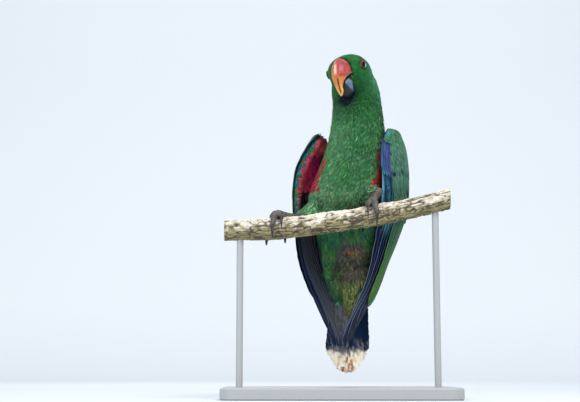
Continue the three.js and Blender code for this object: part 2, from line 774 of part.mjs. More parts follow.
function addLeg(leg) {
  const name = leg.side > 0 ? "left" : "right";
  const perch = solidOf(perchShape(GAP));
  const thigh = solidOf(thighShape(leg, 0)).subtract(solidOf(bodyShape(GAP))).subtract(perch)
    .subtract(solidOf(tarsusShape(leg, GAP)));
  add(`thigh_${name}`, geometryOf(largest(thigh)), "green");
  const toes = join([tarsusShape(leg, 0), ...TOES.map((toe) => toeShape(leg, toe, 0))]);
  add(`foot_${name}`, geometryOf(largest(toes.subtract(perch))), "foot");
  for (const toe of TOES) {
    const claw = solidOf(clawShape(leg, toe)).subtract(perch).subtract(solidOf(toeShape(leg, toe, GAP)));
    add(`claw_${name}_${toe.name}`, geometryOf(largest(claw)), "claw");
  }
}

function addStand() {
  add("stand_base", baseShape(), "stand");
  const perch = solidOf(perchShape(GAP));
  for (const [name, x] of [["left", ROD.left], ["right", ROD.right]]) {
    add(`stand_rod_${name}`, geometryOf(largest(solidOf(rodShape(x)).subtract(perch))), "stand");
  }
}

addTrunk();
addFace();
add("wing_left", geometryOf(wingSolid(LEFT_WING, LEFT_LEG)), "wing");
add("wing_right", geometryOf(wingSolid(RIGHT_WING, RIGHT_LEG)), "wing");
add("tail", geometryOf(tailSolid()), "tail");
addLeg(LEFT_LEG);
addLeg(RIGHT_LEG);
add("perch", perchShape(0), "bark");
addStand();

export default model;
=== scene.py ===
"""A perched male eclectus parrot as a museum model: plumage, bill, eyes, feet, branch and stand
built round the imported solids. Lengths in the tables are millimetres; the scene is in metres."""

import math

import bmesh
import bpy
import numpy as np
from mathutils import Matrix, Vector
from mathutils.bvhtree import BVHTree


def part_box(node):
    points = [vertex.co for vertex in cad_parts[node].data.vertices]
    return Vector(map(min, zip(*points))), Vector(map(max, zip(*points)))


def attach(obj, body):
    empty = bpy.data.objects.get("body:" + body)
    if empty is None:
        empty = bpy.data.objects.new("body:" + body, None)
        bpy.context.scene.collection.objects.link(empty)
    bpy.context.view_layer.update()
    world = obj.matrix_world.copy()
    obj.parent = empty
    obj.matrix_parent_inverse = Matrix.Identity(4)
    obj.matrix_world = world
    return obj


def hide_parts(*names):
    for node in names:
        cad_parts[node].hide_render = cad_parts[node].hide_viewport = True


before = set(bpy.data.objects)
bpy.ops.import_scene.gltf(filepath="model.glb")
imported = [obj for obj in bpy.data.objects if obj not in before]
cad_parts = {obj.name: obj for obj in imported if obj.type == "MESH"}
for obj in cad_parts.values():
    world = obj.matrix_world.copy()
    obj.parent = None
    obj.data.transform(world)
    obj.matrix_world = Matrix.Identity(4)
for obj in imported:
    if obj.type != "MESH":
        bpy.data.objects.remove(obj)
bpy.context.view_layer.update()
MM = 0.001
FULL_TURN = 2 * math.pi
rng = np.random.default_rng(11)
LATTICE = np.random.default_rng(5).uniform(-1, 1, (32, 32, 32))

# Camera: its place, its upward pitch in degrees and its lens on a 36 mm sensor
CAMERA = {"place": (-51, -1200, 30), "pitch": 8.3, "lens": 71.63}

# Lights: place and target in metres, size, power and colour
BIRD = (0.01, 0, 0.19)
LIGHTS = {"key": ((0.55, -0.9, 1.5), BIRD, 0.5, 22, (1.0, 0.96, 0.9)),
          "fill": ((-1.1, -1.2, 0.5), BIRD, 1.2, 11, (0.85, 0.92, 1.0)),
          "back": ((-0.4, 1.1, 1.1), BIRD, 0.8, 4.5, (1.0, 0.98, 0.95)),
          "backdrop": ((0, 1.2, 2.6), (0, 3.0, 0.5), 2.5, 8, (0.95, 0.98, 1.0))}

# The branch's axis (height along X), its depth and its radius
PERCH_LINE = np.array([(-118, 171.5), (-60, 173), (0, 180), (37, 186.5), (62, 191.5), (113, 203.5)])
PERCH_Y = -26
PERCH_RADIUS = 10.6

# Wing sections from the wrist down: height, then x and y of the leading edge, the outermost
# line and the trailing edge
LEFT_WING = {"name": "left", "side": 1, "rows": [
    (279, 51, -29, 56, -16, 54, -2),
    (262, 45, -29, 66.5, -3, 54, 30),
    (240, 43.5, -27, 70.5, 5, 45, 46),
    (215, 46, -20, 71, 11, 37, 54),
    (190, 45.5, -8, 69.5, 16, 33, 59),
    (165, 41, -1, 60.5, 20, 32, 59),
    (143, 38, 6, 51.5, 24, 33, 56),
    (120, 33.5, 13, 42, 26, 36, 46),
    (98, 25, 19, 31.5, 28, 33, 38),
    (77, 14.5, 23, 21.5, 29, 26, 34),
    (55, 3, 26, 10, 30, 15, 33)]}
RIGHT_WING = {"name": "right", "side": -1, "rows": [
    (279, -15, 3, -17, 11, -12, 19),
    (262, -30, 6, -27, 21, -13, 35),
    (240, -41.5, 10, -32.5, 27, -7, 42),
    (215, -45, 14, -35, 31, -5, 48),
    (190, -45, 17.5, -34, 34, -3, 51),
    (165, -44, 21, -31, 37, -1, 53),
    (143, -41, 24, -28, 38, -1, 50),
    (120, -33.5, 27, -21, 37, 0, 46),
    (98, -23.5, 30, -13.5, 35.5, 1, 40),
    (77, -13.5, 34, -5.5, 37.5, 5, 41),
    (52, -1, 38, 3, 40, 8, 42)]}

# The padded leading edge: shares down and across each wing from the shoulder over the wrist, and radii
EDGE_PATHS = {"right": [(0.055, 0.85, 1.8), (0.04, 0.6, 2.4), (0.035, 0.32, 2.9), (0.06, 0.1, 3.6),
                        (0.11, 0.07, 4.2), (0.18, 0.06, 4.5), (0.27, 0.05, 3.9), (0.35, 0.04, 2.6),
                        (0.43, 0.03, 1.0)],
              "left": [(0.05, 0.25, 0.9), (0.055, 0.1, 1.5), (0.09, 0.06, 1.8), (0.13, 0.05, 1.9),
                       (0.18, 0.05, 1.9), (0.27, 0.05, 1.7), (0.35, 0.04, 1.2), (0.43, 0.03, 0.6)]}

# The line up the middle of the trunk and neck: height, x, y
SPINE = np.array([(128, 10, 32.5), (140, 9.5, 29), (153, 10.5, 25), (168, 9.5, 21), (183, 8, 17),
                  (198, 5.5, 12.5), (216, 7.5, 7), (234, 12.5, 1.5), (252, 17, -4), (270, 19.5, -9.5),
                  (288, 20, -15), (306, 19, -21), (323, 16.5, -25), (345, 13, -28)])
VENT = np.array([13.5, 2.5, 148.0])

# Each thigh's line from hip to ankle
THIGHS = np.array([[(22, 2, 222), (40.5, -17, 212)], [(-10, 6, 208), (-43, -7, 185.5)]])

# The head's turns in degrees and the origin of its own axes: forward, left, up
HEAD_YAW, HEAD_PITCH, HEAD_ROLL = (math.radians(angle) for angle in (27.5, -9, 9))
HEAD_ORIGIN = np.array([10.8, -31, 337.6])
EYE_RADIUS = 5.6

# In the head's axes: the line of the gape, its spot of bare skin, and the upper bill's cutting
# edge as forward and up
GAPE = np.array([(20.6, 10.0, -8.0), (23.0, 6.0, -14.5)])
GAPE_SKIN = np.array([20.8, 10.0, -9.8])
TOMIUM = np.array([(10, -5), (14, -6), (20, -7), (25, -10), (29, -13.5), (31.5, -19), (33, -25),
                   (33.8, -29.3)])

TAIL = {"root": (13.5, 38, 121), "tip": (10.5, 68, 26), "root_spread": 12, "spread": 19.5, "round": 24,
        "width": 14.5}

# Soft lobes of plumage under the tail and at the flank: the top and the tip of each one's middle
# line, its half width and half depth, its colours at the top and at the tip, and its feathers' width
LOBES = [
    {"top": (-5, 26, 152), "tip": (0.5, 33, 104), "half": 11.5, "depth": 6, "base": (0.028, 0.12, 0.07),
     "light": (0.1, 0.33, 0.16), "tuft": 1.5},
    {"top": (20, 24, 150), "tip": (15.5, 32, 86), "half": 14, "depth": 7, "base": (0.035, 0.11, 0.05),
     "light": (0.46, 0.48, 0.16), "tuft": 1.2},
    {"top": (-7, 12, 170), "tip": (-10, 15, 131), "half": 8.5, "depth": 8, "base": (0.015, 0.12, 0.04),
     "light": (0.09, 0.32, 0.1), "tuft": 0.95},
]

# Rows of coverts over the tail: x, y and height of the roots and of the tips
UPPERTAIL = [
    {"count": 7, "x": (-2, 28), "root": (45, 138), "tip_x": (0, 24), "tip": (58, 92)},
    {"count": 6, "x": (0, 26), "root": (50, 150), "tip_x": (2, 24), "tip": (58, 108)},
]

# Colours, linear
GREEN = (0.018, 0.165, 0.035)
GREEN_LIGHT = (0.06, 0.29, 0.08)
GREEN_DARK = (0.006, 0.06, 0.018)
GREEN_GREY = (0.09, 0.235, 0.12)
PALE_GREEN = (0.135, 0.39, 0.155)
FACE_GREEN = (0.012, 0.2, 0.038)
THIGH_GREEN = (0.16, 0.38, 0.19)
BELLY_GREEN = (0.2, 0.43, 0.21)
LOW_GREEN = (0.028, 0.14, 0.09)
# Painted sheen on the nape
NAPE_SHEEN = (0.055, 0.3, 0.19)
YELLOW_GREEN = (0.16, 0.24, 0.02)
WING_GREEN = (0.06, 0.19, 0.085)
# Painted sheen on the coverts
COVERT_SHEEN = (0.07, 0.17, 0.125)
SHEEN_GREEN = (0.042, 0.115, 0.068)
QUILL_GREEN = (0.075, 0.27, 0.075)
TEAL = (0.01, 0.09, 0.1)
CYAN = (0.04, 0.38, 0.6)
BLUE = (0.015, 0.075, 0.33)
VIOLET = (0.055, 0.072, 0.23)
NAVY = (0.004, 0.007, 0.025)
CRIMSON = (0.39, 0.009, 0.11)
SCARLET = (0.78, 0.08, 0.11)
EDGE_RED = (0.68, 0.085, 0.105)
FLANK_RED = (0.6, 0.035, 0.06)
# Painted shadow under the bill
CHIN_SHADOW = (0.0, 0.004, 0.014)
CHARCOAL = (0.02, 0.019, 0.024)
SLATE = (0.075, 0.075, 0.095)
CREAM = (1.0, 0.9, 0.73)
RUST = (0.25, 0.12, 0.07)
BROWN = (0.045, 0.026, 0.018)
VENT_BROWN = (0.11, 0.088, 0.085)
CORAL = (0.31, 0.028, 0.034)
ORANGE = (0.56, 0.17, 0.03)
AMBER = (0.74, 0.4, 0.08)
LEG_BROWN = (0.055, 0.05, 0.045)
# Painted highlight on the scales
LEG_HIGHLIGHT = (0.17, 0.155, 0.14)
STAND_GREY = (0.36, 0.37, 0.38)


# Small sums
def mix(a, b, t):
    return a + (b - a) * t


def smooth(edge0, edge1, x):
    t = np.clip((x - edge0) / (edge1 - edge0), 0, 1)
    return t * t * (3 - 2 * t)


def unit(v):
    return v / np.maximum(np.linalg.norm(v, axis=-1, keepdims=True), 1e-9)


def grids(rows, columns):
    return np.meshgrid(rows, columns, indexing="ij")


def plain(colour, like):
    """One colour at every place of like."""
    return np.ones(np.shape(like) + (3,)) * np.array(colour)


def layered(colour, *coats):
    """Colours under coats, each a colour and an amount."""
    for coat, amount in coats:
        colour = colour + (np.asarray(coat, float) - colour) * np.asarray(amount)[..., None]
    return colour


def row_at(rows, s):
    """A smooth row of numbers at s from 0 to 1 along a table of rows."""
    rows = np.asarray(rows, float)
    place = np.clip(np.asarray(s, float), 0, 1) * (len(rows) - 1)
    i = np.minimum(place.astype(int), len(rows) - 2)
    t = (place - i)[..., None]
    p0, p1 = rows[np.maximum(i - 1, 0)], rows[i]
    p2, p3 = rows[i + 1], rows[np.minimum(i + 2, len(rows) - 1)]
    m1, m2 = (p2 - p0) / 2, (p3 - p1) / 2
    return ((2 * p1 - 2 * p2 + m1 + m2) * t + (-3 * p1 + 3 * p2 - 2 * m1 - m2)) * t * t + m1 * t + p1


def along_line(points, start, end):
    """Each point's share of the way along a line, kept to its ends, and its distance from it."""
    line = end - start
    share = np.clip((points - start) @ line / (line @ line), 0, 1)
    return share, np.linalg.norm(points - start - share[:, None] * line, axis=1)


def noise(points, scale, seed):
    """Smooth random numbers from -1 to 1 on a lattice, with features of about the scale's size."""
    place = np.asarray(points) / (0.55 * scale) + seed * 7.31
    cell = np.floor(place).astype(int)
    t = place - cell
    t = t * t * (3 - 2 * t)
    total = 0
    for corner in np.ndindex(2, 2, 2):
        i = (cell + corner) % len(LATTICE)
        share = np.prod(np.where(corner, t, 1 - t), axis=-1)
        total = total + share * LATTICE[i[..., 0], i[..., 1], i[..., 2]]
    return total * 1.5


# Faces
def ring_faces(rows, columns, wrap=False):
    """Faces between neighbouring rings of points; wrap joins the last ring to the first."""
    i, j = grids(np.arange(rows - 1 + wrap), np.arange(columns))
    a, b = i * columns + j, i * columns + (j + 1) % columns
    c, d = (b + columns) % (rows * columns), (a + columns) % (rows * columns)
    return np.concatenate([np.stack([a, b, c], -1).reshape(-1, 3), np.stack([a, c, d], -1).reshape(-1, 3)])


def tube_faces(rows, columns):
    """Faces of a closed tube of rings, with a fan over each end."""
    last = (rows - 1) * columns
    caps = [(0, k + 1, k) for k in range(1, columns - 1)]
    caps += [(last, last + k, last + k + 1) for k in range(1, columns - 1)]
    return np.concatenate([ring_faces(rows, columns), caps])


def plate_faces(rows, columns):
    """Faces of a closed thin plate whose top points come first, then its bottom points."""
    i, j = grids(np.arange(rows - 1), np.arange(columns - 1))
    a = (i * columns + j).ravel()
    b, c, d = a + 1, a + columns + 1, a + columns
    base = rows * columns
    top = np.concatenate([np.stack([a, b, c], 1), np.stack([a, c, d], 1)])
    bottom = np.concatenate([np.stack([a, c, b], 1), np.stack([a, d, c], 1)]) + base
    rim = np.concatenate([
        np.arange(columns), np.arange(1, rows) * columns + columns - 1,
        (rows - 1) * columns + np.arange(columns - 2, -1, -1), np.arange(rows - 2, 0, -1) * columns])
    after = np.roll(rim, -1)
    sides = [np.stack([rim, rim + base, after + base], 1), np.stack([rim, after + base, after], 1)]
    return np.concatenate([top, bottom, *sides])


# Meshes
def triangle_mesh(name, points, faces):
    mesh = bpy.data.meshes.new(name)
    mesh.vertices.add(len(points))
    mesh.vertices.foreach_set("co", (points * MM).ravel())
    mesh.loops.add(faces.size)
    mesh.loops.foreach_set("vertex_index", faces.ravel().astype(np.int32))
    mesh.polygons.add(len(faces))
    mesh.polygons.foreach_set("loop_start", np.arange(0, faces.size, 3, dtype=np.int32))
    mesh.update(calc_edges=True)
    return mesh


def mesh_arrays(mesh):
    """A mesh's points and their normals."""
    made = []
    for key in ("co", "normal"):
        made.append(np.empty(len(mesh.vertices) * 3))
        mesh.vertices.foreach_get(key, made[-1])
    return made[0].reshape(-1, 3) / MM, made[1].reshape(-1, 3)


def move_points(mesh, points):
    mesh.vertices.foreach_set("co", (points * MM).ravel())
    mesh.update()


def paint(mesh, colours):
    """Smooth shading, and a tint for each point."""
    mesh.polygons.foreach_set("use_smooth", np.full(len(mesh.polygons), True))
    tint = mesh.color_attributes.new("Tint", "FLOAT_COLOR", "POINT")
    tint.data.foreach_set("color", np.insert(np.clip(colours, 0, 1), 3, 1, axis=1).ravel())


def finish_piece(name, mesh, material, nodes=()):
    piece = bpy.data.objects.new(name, mesh)
    bpy.context.collection.objects.link(piece)
    mesh.materials.clear()
    mesh.materials.append(material)
    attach(piece, "root")
    if nodes:
        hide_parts(*nodes)
    return piece


class Batch:
    """Many small closed shapes gathered into one mesh, with a colour and a bake patch each."""

    def __init__(self):
        self.points, self.faces, self.colours, self.patches, self.vanes = [], [], [], [], []
        self.count = 0

    def add(self, points, faces, colours, patches, vanes=None):
        self.points.append(np.asarray(points).reshape(-1, 3))
        self.faces.append(np.asarray(faces).reshape(-1, 3) + self.count)
        self.colours.append(np.asarray(colours).reshape(-1, 3))
        self.patches.append(np.asarray(patches).reshape(-1, 2))
        size = len(self.points[-1])
        self.vanes.append(np.zeros((size, 2)) if vanes is None else np.asarray(vanes).reshape(-1, 2))
        self.count += size

    def build(self, name, material, slot, nodes=()):
        faces = np.concatenate(self.faces)
        mesh = triangle_mesh(name, np.concatenate(self.points), faces)
        for layer, values in (("OFBake", self.patches), ("Vane", self.vanes)):
            uv = mesh.uv_layers.new(name=layer)
            uv.data.foreach_set("uv", np.concatenate(values)[faces.ravel()].ravel())
        paint(mesh, np.concatenate(self.colours))
        return finish_piece(name, mesh, material, nodes)


def merged_nodes(names):
    bm = bmesh.new()
    for name in names:
        bm.from_mesh(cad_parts[name].data)
    return bm


def merged_copy(name, nodes, voxel):
    """One closed skin round copies of some nodes, by a voxel remesh."""
    mesh = bpy.data.meshes.new(name)
    bm = merged_nodes(nodes)
    bm.to_mesh(mesh)
    bm.free()
    piece = bpy.data.objects.new(name, mesh)
    bpy.context.collection.objects.link(piece)
    remesh = piece.modifiers.new("remesh", "REMESH")
    remesh.mode = "VOXEL"
    remesh.voxel_size = voxel * MM
    depsgraph = bpy.context.evaluated_depsgraph_get()
    made = bpy.data.meshes.new_from_object(piece.evaluated_get(depsgraph))
    bpy.data.objects.remove(piece)
    return made


def relaxed(mesh, rounds, keep=True):
    """Points smoothed over their neighbours; keep holds the volume."""
    points, _ = mesh_arrays(mesh)
    edges = np.empty(len(mesh.edges) * 2, dtype=np.int32)
    mesh.edges.foreach_get("vertices", edges)
    a, b = edges.reshape(-1, 2).T
    degree = np.bincount(a, minlength=len(points)) + np.bincount(b, minlength=len(points))
    for i in range(rounds):
        total = np.zeros_like(points)
        np.add.at(total, a, points[b])
        np.add.at(total, b, points[a])
        share = -0.52 if keep and i % 2 else 0.5
        points = points + share * (total / degree[:, None] - points)
    move_points(mesh, points)
    return mesh


# Materials
class Material:
    """A Principled material and the nodes that feed it."""

    def __init__(self, name, roughness=0.5, shine=0.5):
        self.made = bpy.data.materials.new(name)
        self.made.use_nodes = True
        self.nodes = self.made.node_tree.nodes
        self.link = self.made.node_tree.links.new
        self.shader = self.nodes["Principled BSDF"].inputs
        self.shader["Roughness"].default_value = roughness
        self.shader["Specular IOR Level"].default_value = shine

    def add(self, kind, **values):
        node = self.nodes.new("ShaderNode" + kind)
        for key, value in values.items():
            if hasattr(node, key):
                setattr(node, key, value)
            else:
                node.inputs[key.replace("_", " ")].default_value = value
        return node

    def tint(self):
        return self.add("Attribute", attribute_name="Tint").outputs["Color"]

    def grain(self, scale, detail):
        """Fine noise in the object's own space."""
        made = self.add("TexNoise", Scale=scale, Detail=detail)
        self.link(self.add("TexCoord").outputs["Object"], made.inputs["Vector"])
        return made.outputs["Fac"]

    def span(self, value, **ends):
        made = self.add("MapRange", **ends)
        self.link(value, made.inputs["Value"])
        return made.outputs["Result"]

    def ramp(self, value, first, last):
        made = self.add("ValToRGB")
        for stop, colour in zip(made.color_ramp.elements, (first, last)):
            stop.color = (*colour, 1)
        self.link(value, made.inputs["Fac"])
        return made.outputs["Color"]

    def bump(self, height, strength, distance):
        made = self.add("Bump", Strength=strength, Distance=distance)
        self.link(height, made.inputs["Height"])
        self.link(made.outputs["Normal"], self.shader["Normal"])


def feather_material(name, roughness, shine, barbs=0):
    """The painted tint with fine mottling; barbs is the number of barb lines along a vane."""
    material = Material(name, roughness, shine)
    mottle = material.grain(900, 3)
    shade = material.add("VectorMath", operation="SCALE")
    material.link(material.tint(), shade.inputs[0])
    material.link(material.span(mottle, To_Min=0.72, To_Max=1.28), shade.inputs["Scale"])
    material.link(shade.outputs["Vector"], material.shader["Base Color"])
    height = mottle
    if barbs:
        wave = material.add("TexWave", wave_type="BANDS", bands_direction="DIAGONAL", Scale=barbs,
                            Distortion=0.6)
        material.link(material.add("UVMap", uv_map="Vane").outputs["UV"], wave.inputs["Vector"])
        height = wave.outputs["Fac"]
    material.bump(height, 0.25, 0.0003)
    return material.made


def tinted_material(name, roughness, scale, strength, shine=0.5):
    """The painted tint over a finely pitted surface; the pits vary the roughness."""
    material = Material(name, shine=shine)
    material.link(material.tint(), material.shader["Base Color"])
    grain = material.grain(scale, 4)
    material.bump(grain, strength, 0.0004)
    rough = material.span(grain, To_Min=max(roughness - 0.08, 0.02), To_Max=roughness + 0.1)
    material.link(rough, material.shader["Roughness"])
    return material.made


def painted_metal(name, colour):
    material = Material(name, 0.42)
    grain = material.grain(1400, 2)
    tone = material.ramp(grain, [c * 0.92 for c in colour], [c * 1.05 for c in colour])
    material.link(tone, material.shader["Base Color"])
    material.bump(grain, 0.08, 0.0002)
    return material.made


def floor_material(near, far):
    """Pale paint with painted shade: darker towards the front, lighter towards the backdrop."""
    material = Material("floor", 0.9)
    parts = material.add("SeparateXYZ")
    material.link(material.add("TexCoord").outputs["Object"], parts.inputs["Vector"])
    depth = material.span(parts.outputs["Y"], From_Min=near, From_Max=far)
    # Painted shade: the floor's colour darkens from the backdrop towards the front
    material.link(material.ramp(depth, (0.6, 0.64, 0.68), (0.85, 0.87, 0.9)), material.shader["Base Color"])
    return material.made


COAT = feather_material("coat", 0.62, 0.25)
SKIN = feather_material("skin_under_coat", 0.8, 0.1)
VANE = feather_material("vane", 0.52, 0.07, barbs=46)
HORN = tinted_material("bill_horn", 0.46, 700, 0.25, shine=0.35)
HORN_DARK = tinted_material("dark_horn", 0.4, 600, 0.25)
CORNEA = tinted_material("cornea", 0.05, 100, 0.0, shine=0.12)
LEATHER = tinted_material("scaly_skin", 0.62, 1600, 0.5)
BARK = tinted_material("bark", 0.85, 1500, 0.6)
PAINT = painted_metal("stand_paint", STAND_GREY)


# Camera, floor, backdrop and lights
def add_object(name, data, place=(0, 0, 0)):
    holder = bpy.data.objects.new(name, data)
    bpy.context.collection.objects.link(holder)
    holder.location = place
    return holder


def add_camera():
    camera = bpy.data.cameras.new("camera")
    camera.lens = CAMERA["lens"]
    camera.sensor_width = 36
    camera.clip_end = 30
    holder = add_object("camera", camera, Vector(CAMERA["place"]) * MM)
    holder.rotation_euler = (math.radians(90 + CAMERA["pitch"]), 0, 0)
    bpy.context.scene.camera = holder


def add_stage():
    """A pale floor that curves up behind into a backdrop; metres."""
    reach, front, depth, rise, bend = 6.0, -4.0, 3.2, 6.0, 1.2
    turn = np.linspace(0, math.pi / 2, 17)
    y = np.concatenate([[front], depth - bend + bend * np.sin(turn), [depth]])
    z = np.concatenate([[0], bend - bend * np.cos(turn), [rise]])
    points = np.array([(x, *place) for x in (-reach, reach) for place in zip(y, z)])
    n = len(y)
    faces = [(i, i + n, i + n + 1, i + 1) for i in range(n - 1)]
    mesh = bpy.data.meshes.new("floor")
    mesh.from_pydata(points.tolist(), [], faces)
    mesh.polygons.foreach_set("use_smooth", np.full(len(faces), True))
    mesh.materials.append(floor_material(0.6, depth - bend * 0.4))
    add_object("floor", mesh)


def add_lights():
    world = bpy.data.worlds.new("world")
    world.use_nodes = True
    sky = world.node_tree.nodes["Background"].inputs
    sky["Color"].default_value = (0.9, 0.96, 1.0, 1)
    sky["Strength"].default_value = 0.9
    bpy.context.scene.world = world
    bpy.context.scene.view_settings.view_transform = "Standard"
    for name, (place, target, size, power, colour) in LIGHTS.items():
        light = bpy.data.lights.new(name, "AREA")
        light.shape = "DISK"
        light.size = size
        light.energy = power
        light.color = colour
        holder = add_object(name, light, place)
        holder.rotation_euler = (Vector(target) - Vector(place)).to_track_quat("-Z", "Y").to_euler()


# The head's axes
def head_axes():
    """Forward, left and up of the head."""
    flat = math.cos(HEAD_PITCH)
    forward = np.array([-math.sin(HEAD_YAW) * flat, -math.cos(HEAD_YAW) * flat, math.sin(HEAD_PITCH)])
    level = np.array([math.cos(HEAD_YAW), -math.sin(HEAD_YAW), 0])
    upright = np.cross(forward, level)
    left = level * math.cos(HEAD_ROLL) + upright * math.sin(HEAD_ROLL)
    up = upright * math.cos(HEAD_ROLL) - level * math.sin(HEAD_ROLL)
    return forward, left, up


FORWARD, LEFT, UP = head_axes()
BILL_ROOT = HEAD_ORIGIN + 22 * FORWARD + 4 * UP


def head_place(points):
    """Points in the head's own axes: forward, left, up."""
    return (points - HEAD_ORIGIN) @ np.stack([FORWARD, LEFT, UP], axis=1)


def node_centre(name):
    return np.mean([np.array(corner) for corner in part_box(name)], axis=0) / MM


EYES = {side: node_centre(f"eye_{side}") for side in ("left", "right")}


# The skin and its markings
def spine_at(z):
    heights, x, y = SPINE.T
    return np.interp(z, heights, x), np.interp(z, heights, y)


def body_depth(points):
    """How far the skin lies under the coat: thin on the face, deeper on the trunk."""
    return mix(2.3, 0.9, smooth(296, 328, points[:, 2]))


def face_share(points):
    return smooth(-8, 12, head_place(points)[:, 0]) * smooth(300, 312, points[:, 2])


def skin_chart(points):
    """The skin unwrapped round its own middle line: the way round and the way up."""
    x, y = spine_at(points[:, 2])
    around = np.arctan2(points[:, 0] - x, y - points[:, 1]) / FULL_TURN + 0.5
    low, high = 120, 360
    return np.stack([around, (points[:, 2] - low) / (high - low)], axis=1)


def vent_marks(colour, points, ahead=1.0):
    """The vent's brown and rust among yellow-green feathers."""
    x, z = points[:, 0] - VENT[0], points[:, 2] - VENT[2]
    ragged = 5 * noise(points, 9, 5)
    reach = np.hypot(x / 15, (z + 3) / 15) + 0.035 * ragged
    ray = noise(np.stack([np.arctan2(x, z) * 9, 0 * x, 0 * x], 1), 2.2, 14)
    rust = np.hypot(x / 6.5, (z - 2) / 4.5) + 0.04 * ragged
    return layered(
        colour,
        ((0.2, 0.26, 0.06), 0.75 * ahead * smooth(2.4, 1.4, reach) * smooth(0.0, 0.5, ray)),
        (VENT_BROWN, 0.9 * ahead * smooth(1.4, 0.95, reach) * smooth(1.1, 0.1, ray)),
        (RUST, 0.9 * ahead * smooth(1.4, 0.3, rust)))


def gape_marks(colour, points):
    """The dark corner of the mouth with its spot of yellow skin."""
    place = head_place(points)
    _, gap = along_line(place, *GAPE)
    spot = np.linalg.norm(place - GAPE_SKIN, axis=1)
    return layered(
        colour,
        ((0.006, 0.008, 0.01), 0.96 * smooth(2.6, 1.5, gap)),
        ((0.68, 0.36, 0.05), smooth(1.3, 0.8, spot)))


def plumage_colour(points):
    """The body's markings by place, with a painted sheen on the nape and a painted shadow under the bill;
    around is degrees from the breast towards the bird's left.
    """
    x, y, z = points.T
    middle_x, middle_y = spine_at(z)
    around = np.degrees(np.arctan2(x - middle_x, middle_y - y))
    ahead = smooth(4, -6, y - middle_y)
    ragged = 5 * noise(points, 9, 5)
    breast = smooth(308, 270, z) * smooth(165, 190, z)
    belly = smooth(226, 206, z) * smooth(170, 185, z)
    thigh = smooth(24, 14, np.hypot(x + 28, z - 203)) + smooth(18, 10, np.hypot(x - 38, z - 214))
    thigh = np.clip(thigh, 0, 1)
    low = smooth(188, 164, z) * (1 - 0.5 * smooth(0, 0.8, noise(points, 14, 2)))
    chin = np.hypot((x - 7.5 - (z - 303) * 0.12) / 10.5, (z - 308) / 12.5)
    # Red flanks under both wings, higher and broken by green on the left
    left = around > 0
    flank = smooth(0, 6, np.abs(around) + ragged - np.where(left, 47, 54)) * smooth(118, 104, np.abs(around))
    flank *= smooth(201, 208, z + ragged) * smooth(0, -8, z + 2 * ragged - np.where(left, 266, 247))
    flank *= 1 - 0.8 * np.exp(-((z + ragged - 241) / 4) ** 2) * left
    colour = layered(
        plain(GREEN, z),
        (FACE_GREEN, 0.9 * smooth(306, 322, z) * smooth(352, 335, z)),
        (PALE_GREEN, 0.3 * smooth(-15, -60, around) * smooth(285, 300, z) * smooth(322, 310, z)),
        (GREEN_LIGHT, breast * (0.55 + 0.35 * smooth(-0.5, 0.8, noise(points, 34, 3)))),
        (GREEN_GREY, breast * (0.25 + 0.35 * smooth(-0.2, 0.8, noise(points, 20, 8)))),
        (PALE_GREEN, 0.8 * breast * smooth(-2, -45, around) * smooth(-110, -80, around)),
        (PALE_GREEN, 0.35 * breast * smooth(20, 50, around)),
        # Painted sheen: paler green along the nape and hind neck on the bird's left
        (PALE_GREEN, 0.3 * smooth(35, 80, around) * smooth(290, 315, z)),
        (THIGH_GREEN, 0.75 * thigh),
        (BELLY_GREEN, 0.6 * belly * (0.65 + 0.6 * noise(points, 12, 18))),
        (LOW_GREEN, 0.6 * low),
        # Painted sheen: a bluish rim along the nape's outline
        (NAPE_SHEEN, 0.55 * smooth(40, 80, around) * smooth(292, 308, z)),
        # Painted shadow under the bill: darker green round the chin, near black at its middle
        (GREEN_DARK, 0.55 * smooth(2.3, 1.0, chin) * ahead),
        (CHIN_SHADOW, 0.98 * smooth(1.15, 0.45, chin + 0.02 * ragged) * ahead),
        (FLANK_RED, 0.95 * flank * (1 - thigh * (z < 214))))
    return gape_marks(vent_marks(colour, points, ahead), points)


def make_skin():
    nodes = ["head", "neck", "torso", "thigh_left", "thigh_right"]
    mesh = merged_copy("body_skin", nodes + ["eye_left", "eye_right"], 1.5)
    points, normals = mesh_arrays(relaxed(relaxed(mesh, 12), 2, keep=False))
    points = points - normals * body_depth(points)[:, None]
    move_points(mesh, points)
    paint(mesh, plumage_colour(points) * 0.5)
    return finish_piece("body_skin", mesh, SKIN, nodes)


# The coat
def nearest(tree, points):
    """The nearest places on a skin, and its normals there."""
    found = [tree.find_nearest(p)[:2] for p in points]
    return np.array([place for place, _ in found]), np.array([normal for _, normal in found])


def outside(tree, points):
    """Which points lie outside closed meshes, by the side of the nearest face."""
    free = np.ones(len(points), bool)
    for i, p in enumerate(points):
        place, normal, _, gap = tree.find_nearest(p)
        free[i] = gap >= 8 or (Vector(p) - place).dot(normal) >= 0
    return free


def skin_tree(mesh):
    points, _ = mesh_arrays(mesh)
    return BVHTree.FromPolygons([Vector(p) for p in points], [tuple(p.vertices) for p in mesh.polygons])


def node_tree(names):
    bm = merged_nodes(names)
    bm.transform(Matrix.Scale(1 / MM, 4))
    tree = BVHTree.FromBMesh(bm)
    bm.free()
    return tree


